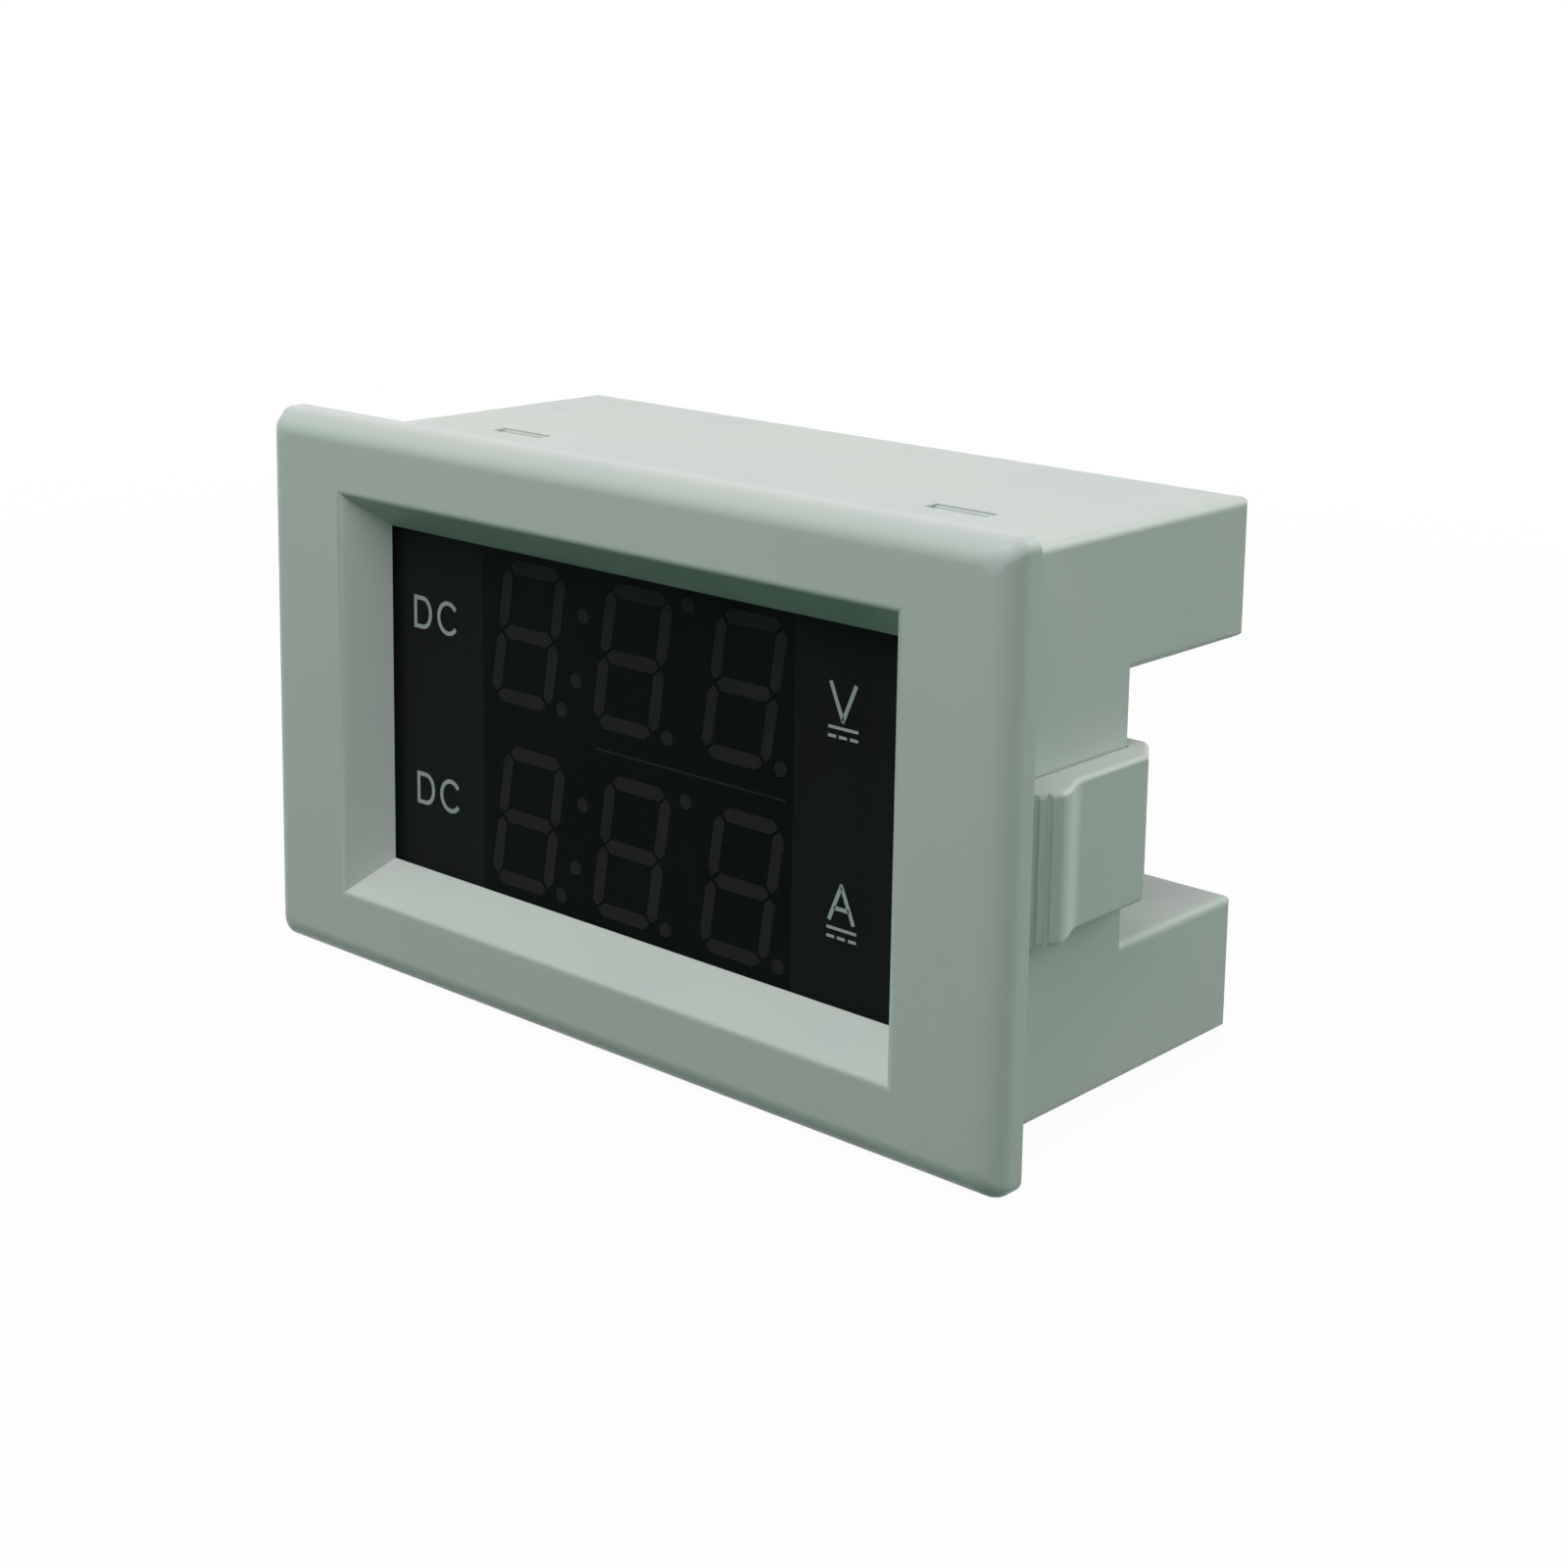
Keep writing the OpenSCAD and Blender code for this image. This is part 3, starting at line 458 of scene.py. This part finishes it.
class METER_OT_bezel(bpy.types.Operator):
    """Finish the bezel and its snap hooks' heels"""

    bl_idname = "meter.bezel"
    bl_label = "Bezel"

    HEEL_X = 25.5         # from the middle to a hook
    HEEL_HALF = 2.85      # half the width of a heel
    HEEL_DEEP = 1.4       # from the case's top face down to a heel's foot
    HEEL_PROUD = 0.1      # from the case's top face down to a heel's crown
    HEEL_Y = (0.55, 0.06) # from the hook's end forward to a heel's front and back

    def execute(self, context):
        settings = context.scene.meter_finish
        # Polished mould face: the bezel has a slightly tighter highlight than the housing.
        finish = moulded_abs("moulded_abs_bezel", settings.case_colour, settings.case_grain, 0.36)
        smooth_skin("bezel", "bezel_shell", "meter", finish, settings.edge_break)
        back = box_mm("bezel")[1].y
        top = box_mm("housing")[1].z
        foot, crown = top - self.HEEL_DEEP, top - self.HEEL_PROUD
        front, rear = back - self.HEEL_Y[0], back - self.HEEL_Y[1]
        bm = bmesh.new()
        for x in (-self.HEEL_X, self.HEEL_X):
            for low, high in ((foot, crown), (-crown, -foot)):
                block(bm, (x - self.HEEL_HALF, front, low), (x + self.HEEL_HALF, rear, high))
        piece(bm, "snap_heels", "meter", finish)
        return {"FINISHED"}


class METER_OT_housing(bpy.types.Operator):
    """Finish the housing and the two side clips"""

    bl_idname = "meter.housing"
    bl_label = "Housing and clips"

    CLIP_BREAK = 0.06     # edge break of the clips
    FLOOR_BACK = 3.9      # from the terminal block's front to the back of the channel's floor
    NUMBER_FOOT = 8.2     # height of the terminal numbers' foot over the middle
    NUMBER_TALL = 2.1
    NUMBER_Y = (0.005, 0.025)   # the print's two faces behind the channel's floor

    def execute(self, context):
        settings = context.scene.meter_finish
        finish = moulded_abs("moulded_abs_housing", settings.case_colour, settings.case_grain, 0.44)
        smooth_skin("housing", "housing_shell", "meter", finish, settings.edge_break)
        for side in SIDES:
            smooth_skin(f"clip_{side}", f"clip_{side}_shell", f"clip_{side}", finish,
                        self.CLIP_BREAK * MM)
        # Pad-printed ink: flat dark grey, a little uneven at its edges.
        ink = plain_finish("pad_printed_ink", "#3A3D3E", 0.6, size=0.4 * MM, depth=0.15)
        floor = box_mm("terminal_block")[0].y + self.FLOOR_BACK
        bm = bmesh.new()
        for i in POLES:
            x = middle_mm(f"terminal_screw_{i}").x
            lettering(bm, str(i), x, self.NUMBER_FOOT, self.NUMBER_TALL,
                      floor + self.NUMBER_Y[0], floor + self.NUMBER_Y[1])
        piece(bm, "terminal_numbers", "meter", ink)
        return {"FINISHED"}


class METER_OT_window(bpy.types.Operator):
    """Finish the window and print its signs"""

    bl_idname = "meter.window"
    bl_label = "Window and signs"

    PRINT_T = 0.02        # thickness of the signs' print
    LIFT = 0.002          # from the window's face to the print
    DC_FEET = ((-26.32, 6.9), (-26.1, -9.32))
    V_FOOT = (23.93, 7.8)
    A_FOOT = (24.14, -8.42)
    MASK_X = (-18.5, 18.0)  # inner edges of the two printed side fields
    MASK_Y = (0.01, 0.05)   # the fields' two faces behind the window
    MASK_EDGE = 0.05        # from the window's edge to the fields

    def execute(self, context):
        finish = context.scene.meter_finish
        sizes = context.scene.meter_sizes
        dress("lens_window", smoked_acrylic(finish))
        # Screen-printed ink: flat white that thins a little within a stroke.
        ink = thin_layer("screen_printed_ink", darker(finish.sign_colour, 0.1), finish.sign_colour,
                         0.4 * MM, 0.55)
        face = box_mm("lens_window")[0].y
        self.layer = (face - self.PRINT_T, face - self.LIFT)
        self.pen = sizes.stroke / MM
        bm = bmesh.new()
        for foot in self.DC_FEET:
            self.direct(bm, foot, sizes.sign_height / MM / 2.6)
        self.volt(bm, self.V_FOOT, sizes.unit_height / MM / 3)
        self.ampere(bm, self.A_FOOT, sizes.unit_height / MM / 3)
        piece(bm, "window_signs", "meter", ink)
        self.mask()
        return {"FINISHED"}

    def mask(self):
        """The fields printed on the window's back, beside the displays."""
        # Back-printed ink: dull grey-green that drifts to a warmer grey in wide clouds.
        ink = thin_layer("back_printed_ink", linear("#66826F"), linear("#7B7976"), 12 * MM, 0.6,
                         crisp=True, specular=0.1)
        low, high = box_mm("lens_window")
        bm = bmesh.new()
        front, back = high.y + self.MASK_Y[0], high.y + self.MASK_Y[1]
        foot, top = low.z + self.MASK_EDGE, high.z - self.MASK_EDGE
        for start, end in ((low.x + self.MASK_EDGE, self.MASK_X[0]),
                           (self.MASK_X[1], high.x - self.MASK_EDGE)):
            block(bm, (start, front, foot), (end, back, top))
        piece(bm, "window_mask", "meter", ink)

    def line(self, bm, foot, scale, points, closed=False, pen=1.0):
        """One stroke of a sign, its points given from the sign's foot."""
        placed = [(foot[0] + x * scale, foot[1] + z * scale) for x, z in points]
        pen_stroke(bm, placed, self.pen * pen, self.layer, closed)

    def direct(self, bm, foot, scale):
        """The letters DC."""
        self.line(bm, foot, scale, [(0, 0), (0, 2.6), *arc((1.0, 1.3), (1.0, 1.3), 90, -90)], True)
        self.line(bm, foot, scale, arc((4.34, 1.3), (1.24, 1.36), 38, 322, 24))

    def volt(self, bm, foot, scale):
        """The letter V over the direct-current symbol."""
        self.line(bm, foot, scale, [(-1.32, 3.02), (0, 0)], pen=0.95)
        self.line(bm, foot, scale, [(0, 0), (1.28, 3.02)], pen=0.95)
        self.tip(bm, foot, scale, 0)
        self.symbol(bm, foot, scale)

    def ampere(self, bm, foot, scale):
        """The letter A over the direct-current symbol."""
        self.line(bm, foot, scale, [(-1.28, 0), (-0.04, 2.96)], pen=0.95)
        self.line(bm, foot, scale, [(-0.04, 2.96), (1.26, 0)], pen=0.95)
        self.line(bm, foot, scale, [(-0.8, 1.05), (0.78, 1.05)], pen=0.9)
        self.tip(bm, (foot[0] - 0.04 * scale, foot[1]), scale, 2.96)
        self.symbol(bm, foot, scale)

    def tip(self, bm, foot, scale, z):
        """The round point where two slanting strokes meet."""
        disc(bm, foot[0], foot[1] + z * scale, self.pen * 0.475, *self.layer)

    def symbol(self, bm, foot, scale):
        """The direct-current symbol: a solid bar over three dashes."""
        self.line(bm, foot, scale, [(-1.5, -0.62), (1.56, -0.62)], pen=0.66)
        for x in (-1.5, -0.4, 0.74):
            self.line(bm, foot, scale, [(x, -1.33), (x + 0.82, -1.33)], pen=0.66)


class METER_OT_displays(bpy.types.Operator):
    """Finish the two displays and lay their segments"""

    bl_idname = "meter.displays"
    bl_label = "Displays"

    LEAN = math.tan(math.radians(8.5))
    WELL = 0.25           # depth of the wells that the segments lie in
    CENTRE = -0.25        # from the display's middle to its middle digit
    DOT_R = 0.66
    DOT_AHEAD = 4.1       # from a digit's middle to its decimal point
    SUNK = 0.03           # from the display's face down to the segments'
    TIP_GAP = 0.34        # what a segment's two tips leave free of its span
    SIDE_GAP = 0.04       # what its two sides leave free of its well
    SEAM_X = (-4.5, 17.2)   # where the painted highlight strip between the displays starts and ends
    SEAM_Y = (-0.03, 0.3)   # its front and back from the displays' face
    SEAM_R = 0.09         # half its thickness

    def execute(self, context):
        finish = context.scene.meter_finish
        sizes = context.scene.meter_sizes
        # Display shell with a matt black painted face.
        shell = plain_finish("black_painted_face", "#0A0C0C", 0.6, specular=0.1)
        # Milky casting resin: unlit segments are a dull warm grey.
        resin = thin_layer("milky_resin", darker(finish.segment_colour, 0.14), finish.segment_colour,
                           1 * MM, 0.5, specular=0.2)
        for row in ROWS:
            dress(f"{row}_display", shell)
            low, high = box_mm(f"{row}_display")
            bm = bmesh.new()
            for i in (-1, 0, 1):
                self.digit(bm, self.CENTRE + i * sizes.digit_pitch / MM, sizes)
            self.dots(bm, sizes)
            bmesh.ops.translate(bm, vec=(0, low.y, (low.z + high.z) / 2), verts=bm.verts)
            piece(bm, f"{row}_segments", "meter", resin)
        # Painted highlight: a pale resin strip laid between the two displays.
        self.seam(resin)
        return {"FINISHED"}

    def seam(self, resin):
        """A pale strip in the resin finish between the two displays: a painted highlight that stands for
        light caught on the displays' edges.
        """
        face = box_mm("volt_display")[0].y
        z = (box_mm("volt_display")[0].z + box_mm("amp_display")[1].z) / 2
        bm = bmesh.new()
        block(bm, (self.SEAM_X[0], face + self.SEAM_Y[0], z - self.SEAM_R),
              (self.SEAM_X[1], face + self.SEAM_Y[1], z + self.SEAM_R))
        bmesh.ops.bevel(bm, geom=bm.edges[:], offset=0.02, affect="EDGES", segments=2, profile=0.5,
                        material=-1)
        piece(bm, "painted_highlight_strip", "meter", resin)

    def bar(self, bm, x, z, length, width, upright):
        """One segment: a bar with pointed ends."""
        reach, side = length / 2, width / 2
        tip = reach - side
        outline = [(-reach, 0), (-tip, -side), (tip, -side), (reach, 0), (tip, side), (-tip, side)]
        corners = [(-v, u) if upright else (u, v) for u, v in outline]
        slab(bm, [(x + u + self.LEAN * (z + v), z + v) for u, v in corners], self.SUNK, self.WELL)

    def digit(self, bm, x, sizes):
        """Seven leaning segments and a decimal point."""
        half = sizes.digit_height / MM / 2
        across = sizes.digit_width / MM
        width = sizes.segment_width / MM - self.SIDE_GAP
        for z in (-half, 0, half):
            self.bar(bm, x, z, across - self.TIP_GAP, width, False)
        for dx in (-across / 2, across / 2):
            for dz in (-half / 2, half / 2):
                self.bar(bm, x + dx, dz, half - self.TIP_GAP, width, True)
        disc(bm, x + self.DOT_AHEAD, -half, self.DOT_R, self.SUNK, self.WELL)

    def dots(self, bm, sizes):
        """The colon between the first digits and the dot between the last ones."""
        half = sizes.digit_height / MM / 2
        step = sizes.digit_pitch / MM / 2
        for dz in (-half / 2, half / 2):
            disc(bm, self.CENTRE - step + self.LEAN * dz, dz, self.DOT_R, self.SUNK, self.WELL)
        disc(bm, self.CENTRE + step, half, self.DOT_R, self.SUNK, self.WELL)


class METER_OT_boards(bpy.types.Operator):
    """Finish the circuit boards and the parts on them"""

    bl_idname = "meter.boards"
    bl_label = "Boards and parts"

    WIRE = 0.3            # thickness of the inductor's wire
    RIM = 0.8             # from the edge of the core's rim in to its waist
    RIM_T = 1.35          # thickness of the rim
    COIL_FRONT = 15.3     # where the coil ends, in front of the lower rim

    def execute(self, context):
        dress("main_board", solder_mask(context.scene.meter_finish.board_colour))
        # Thin matt mask over tinned copper: the display board's even, pale grey-green face.
        dress("display_board", plain_finish("matt_board_mask", "#A6BFB0", 0.5, size=6 * MM, specular=0.2))
        # Tinned pins in their strip: dull pale grey.
        tinned = plain_finish("tinned_pins", "#9CA8A1", 0.5, size=0.8 * MM, specular=0.2)
        for side in SIDES:
            dress(f"header_{side}", tinned)
        # Transfer-moulded epoxy: charcoal with a fine dull grain.
        epoxy = plain_finish("black_epoxy", "#1A1B1C", 0.5, size=0.5 * MM, depth=0.2)
        for node in ("controller_chip", "voltage_regulator"):
            dress(node, epoxy)
        for node in ("supply_capacitor_1", "supply_capacitor_2"):
            dress(node, capacitor_sleeve(node))
        # Sintered ferrite: near-black ceramic, dry and slightly patchy.
        ferrite = plain_finish("sintered_ferrite", "#2C2B2A", 0.62, size=0.6 * MM, depth=0.25)
        dress("supply_inductor", ferrite)
        self.winding()
        # Dipped box: warm amber plastic with soft gloss.
        dress("input_capacitor", plain_finish("film_box", "#B5802C", 0.38))
        # Drawn resistance wire: dull coppery metal.
        dress("current_shunt", turned_metal("drawn_manganin", "#A67B5B", 0.34, 0.5 * MM))
        # Zinc-plated steel: cool, slightly blue grey with a soft shine.
        zinc = turned_metal("zinc_plated_screw", "#C3C6C8", 0.32, 0.4 * MM)
        for node in ("display_screws", "board_screws"):
            dress(node, zinc)
        return {"FINISHED"}

    def winding(self):
        """Enamelled copper wire round the inductor's core, turn beside turn."""
        # Enamelled copper: clear reddish lacquer over bright wire.
        copper = plain_finish("enamelled_copper", "#9C4A26", 0.3, metallic=0.8, size=0.5 * MM, coat=0.4)
        centre = middle_mm("supply_inductor")
        back = box_mm("supply_inductor")[1].y
        radius = (box_mm("supply_inductor")[1].x - centre.x) - self.RIM + self.WIRE / 2
        bm = bmesh.new()
        first = back - self.RIM_T - self.WIRE / 2
        turns = int((first - self.COIL_FRONT) / self.WIRE)
        for i in range(turns):
            made = bmesh.ops.create_circle(
                bm, segments=8, radius=self.WIRE / 2,
                matrix=Matrix.Translation((centre.x + radius, first - i * self.WIRE, centre.z)))
            edges = list({edge for vert in made["verts"] for edge in vert.link_edges})
            bmesh.ops.spin(bm, geom=made["verts"] + edges, cent=(centre.x, 0, centre.z), axis=(0, 1, 0),
                           angle=math.tau, steps=28, use_merge=True)
        piece(bm, "inductor_winding", "meter", copper)


class METER_OT_trimmers(bpy.types.Operator):
    """Finish the two trimmers"""

    bl_idname = "meter.trimmers"
    bl_label = "Trimmers"

    def execute(self, context):
        # Glass-filled plastic case: pale blue, dull.
        case = plain_finish("trimmer_case", "#2F5F94", 0.45, size=0.8 * MM)
        # Turned brass: warm yellow with fine rings of the tool.
        brass = turned_metal("turned_brass", "#C9A45C", 0.3, 0.4 * MM)
        for row in ROWS:
            dress(f"{row}_trimmer", case)
            dress(f"{row}_trimmer_rotor", brass)
        return {"FINISHED"}


class METER_OT_terminals(bpy.types.Operator):
    """Finish the terminal block, its contacts, clamps and screws"""

    bl_idname = "meter.terminals"
    bl_label = "Terminals"

    BLOCK_BREAK = 0.1     # edge breaks of the moulding,
    SHEET_BREAK = 0.06    # of the contacts
    CLAMP_BREAK = 0.08    # and of the clamps and screws

    def execute(self, context):
        # Moulded phenolic: black with a dull, slightly powdery face.
        phenolic = plain_finish("moulded_phenolic", "#1C1D1E", 0.48, size=0.8 * MM, depth=0.22)
        smooth_skin("terminal_block", "terminal_block_shell", "meter", phenolic,
                    self.BLOCK_BREAK * MM)
        # Tinned brass: pale, a little milky, with rolling marks.
        tinned = turned_metal("tinned_contact", "#CDC9BC", 0.3, 0.6 * MM)
        # Nickel on pressed steel: warm grey and fairly bright.
        clamp = turned_metal("nickel_clamp", "#BDB8AE", 0.26, 0.5 * MM)
        # Nickel on a turned screw: the brightest of the metals.
        screw = turned_metal("nickel_screw", "#C6C3BC", 0.22, 0.4 * MM)
        for i in POLES:
            smooth_skin(f"terminal_contact_{i}", f"contact_{i}", "meter", tinned,
                        self.SHEET_BREAK * MM)
            smooth_skin(f"clamp_plate_{i}", f"clamp_{i}_plate", f"clamp_{i}", clamp,
                        self.CLAMP_BREAK * MM)
            smooth_skin(f"terminal_screw_{i}", f"screw_{i}_body", f"screw_{i}", screw,
                        self.CLAMP_BREAK * MM)
        return {"FINISHED"}


class METER_OT_stage(bpy.types.Operator):
    """Set the floor, the light and the camera"""

    bl_idname = "meter.stage"
    bl_label = "Stage"

    FLOOR_R = 0.9           # metres
    SHADOW = 0.04           # share of the floor's shading that shows beside the object
    SHADOW_R = (0.08, 0.3)  # where it starts and stops to fade, in metres
    # Name, place in metres, size, power in watts and colour of each soft light
    LAMPS = (
        ("ceiling_light", (0.021, -0.21, 0.4), 0.38, 1.62, "#FFF9FD"),
        ("side_light", (1.0, -0.25, 0.35), 0.9, 2.15, "#DAFFE8"),
        ("corner_light", (0.75, 0.3, 0.65), 0.7, 0.75, "#FFFFFF"),
        ("left_light", (-0.8, -0.5, 0.4), 0.7, 1.9, "#A8FFD4"),
        ("back_light", (0.35, 0.9, 0.45), 0.7, 5.1, "#F3FFF9"),
        ("far_left_light", (-1.0, 0.3, 0.1), 0.5, 3.2, "#FFEFF8"),
    )
    EYE = (0.15304, -0.151541, 0.06286)   # the camera's place, in metres
    HEADING = 40.542        # degrees that it is turned to its left from straight ahead
    DIP = 10.325            # degrees that it looks down
    ROLL = 1.127            # degrees that it leans
    LENS = 61.304           # focal length, in millimetres
    SHIFT = (-0.03644, -0.19263)

    def execute(self, context):
        self.floor()
        self.world(context.scene)
        self.lamps(context.scene)
        self.camera(context.scene)
        context.scene.view_settings.view_transform = "Standard"
        return {"FINISHED"}

    def seen(self, tree):
        """1 for a ray that shows the background itself, or a reflection or view through to it."""
        path = add(tree, "LightPath").outputs
        first = add(tree, "Math", {0: path["Is Camera Ray"], 1: path["Is Glossy Ray"]},
                    operation="MAXIMUM").outputs[0]
        return add(tree, "Math", {0: first, 1: path["Is Transmission Ray"]},
                   operation="MAXIMUM").outputs[0]

    def floor(self):
        """A pale floor under the lowest edge that shows white and keeps a faint shadow."""
        bm = bmesh.new()
        bmesh.ops.create_circle(bm, cap_ends=True, segments=64, radius=self.FLOOR_R,
                                matrix=Matrix.Translation((0, 0, cad_box[0].z)))
        mesh = bpy.data.meshes.new("floor")
        bm.to_mesh(mesh)
        bm.free()
        material = bpy.data.materials.new("pale_floor")
        material.use_nodes = True
        tree = material.node_tree
        tree.nodes.clear()
        matt = add(tree, "BsdfDiffuse", {"Color": rgba(linear("#0C4E3A"))}).outputs[0]
        pale = add(tree, "BsdfDiffuse", {"Color": (0.9, 0.9, 0.9, 1)}).outputs[0]
        white = add(tree, "Emission", {"Color": (1, 1, 1, 1), "Strength": 1.0}).outputs[0]
        place = add(tree, "TexCoord").outputs["Object"]
        distance = add(tree, "VectorMath", {0: place}, operation="LENGTH").outputs["Value"]
        fade = add(tree, "MapRange", {
            "Value": distance, "From Min": self.SHADOW_R[0], "From Max": self.SHADOW_R[1],
            "To Min": 1 - self.SHADOW, "To Max": 1.0}).outputs["Result"]
        shown = add(tree, "MixShader", {0: fade, 1: pale, 2: white}).outputs[0]
        mixed = add(tree, "MixShader", {0: self.seen(tree), 1: matt, 2: shown}).outputs[0]
        # Clear from below, so that the underside can be looked at.
        below = add(tree, "NewGeometry").outputs["Backfacing"]
        clear = add(tree, "BsdfTransparent").outputs[0]
        mixed = add(tree, "MixShader", {0: below, 1: mixed, 2: clear}).outputs[0]
        add(tree, "OutputMaterial", {"Surface": mixed})
        mesh.materials.append(material)
        floor = bpy.data.objects.new("floor", mesh)
        bpy.context.scene.collection.objects.link(floor)

    def world(self, scene):
        """White where it is seen, dim and slightly green where it lights."""
        world = bpy.data.worlds.new("studio")
        world.use_nodes = True
        scene.world = world
        tree = world.node_tree
        tree.nodes.clear()
        glow = add(tree, "Background", {"Color": rgba(linear("#B9CCC0")), "Strength": 0.04}).outputs[0]
        white = add(tree, "Background", {"Color": (1, 1, 1, 1), "Strength": 1.0}).outputs[0]
        mixed = add(tree, "MixShader", {0: self.seen(tree), 1: glow, 2: white}).outputs[0]
        add(tree, "OutputWorld", {"Surface": mixed})

    def lamps(self, scene):
        """A wide soft light above and in front, and weaker ones round the sides."""
        for name, place, size, power, colour in self.LAMPS:
            light = bpy.data.lights.new(name, "AREA")
            light.size = size
            light.energy = power
            light.color = linear(colour)
            lamp = bpy.data.objects.new(name, light)
            scene.collection.objects.link(lamp)
            lamp.location = place
            lamp.rotation_euler = (-Vector(place)).to_track_quat("-Z", "Y").to_euler()

    def camera(self, scene):
        """A three-quarter view from the right, a little above."""
        lens = bpy.data.cameras.new("camera")
        lens.lens = self.LENS
        lens.shift_x, lens.shift_y = self.SHIFT
        lens.clip_start = 0.005
        lens.clip_end = 20
        camera = bpy.data.objects.new("camera", lens)
        scene.collection.objects.link(camera)
        turn = (Matrix.Rotation(math.radians(self.HEADING), 4, "Z")
                @ Matrix.Rotation(math.radians(90 - self.DIP), 4, "X")
                @ Matrix.Rotation(math.radians(self.ROLL), 4, "Z"))
        camera.matrix_world = Matrix.Translation(self.EYE) @ turn
        scene.camera = camera


OPERATORS = (METER_OT_bezel, METER_OT_housing, METER_OT_window, METER_OT_displays,
             METER_OT_boards, METER_OT_trimmers, METER_OT_terminals, METER_OT_stage)


class METER_PT_sidebar(bpy.types.Panel):
    """Lists the meter's settings and its pieces"""

    bl_idname = "METER_PT_sidebar"
    bl_label = "Panel meter"
    bl_space_type = "VIEW_3D"
    bl_region_type = "UI"
    bl_category = "Meter"

    def draw(self, context):
        for group in (context.scene.meter_finish, context.scene.meter_sizes):
            column = self.layout.column(align=True)
            for key in group.__annotations__:
                column.prop(group, key)
        column = self.layout.column(align=True)
        for operator in OPERATORS:
            column.operator(operator.bl_idname)


CLASSES = (MeterFinish, MeterSizes, *OPERATORS, METER_PT_sidebar)


def register():
    """Registers the classes and hangs the settings on the scene."""
    for cls in CLASSES:
        bpy.utils.register_class(cls)
    bpy.types.Scene.meter_finish = PointerProperty(type=MeterFinish)
    bpy.types.Scene.meter_sizes = PointerProperty(type=MeterSizes)


def unregister():
    """Takes the settings and the classes away again."""
    del bpy.types.Scene.meter_sizes
    del bpy.types.Scene.meter_finish
    for cls in reversed(CLASSES):
        bpy.utils.unregister_class(cls)


def main():
    """Makes every piece in order."""
    register()
    bpy.ops.meter.bezel()
    bpy.ops.meter.housing()
    bpy.ops.meter.window()
    bpy.ops.meter.displays()
    bpy.ops.meter.boards()
    bpy.ops.meter.trimmers()
    bpy.ops.meter.terminals()
    bpy.ops.meter.stage()


if __name__ == "__main__":
    main()
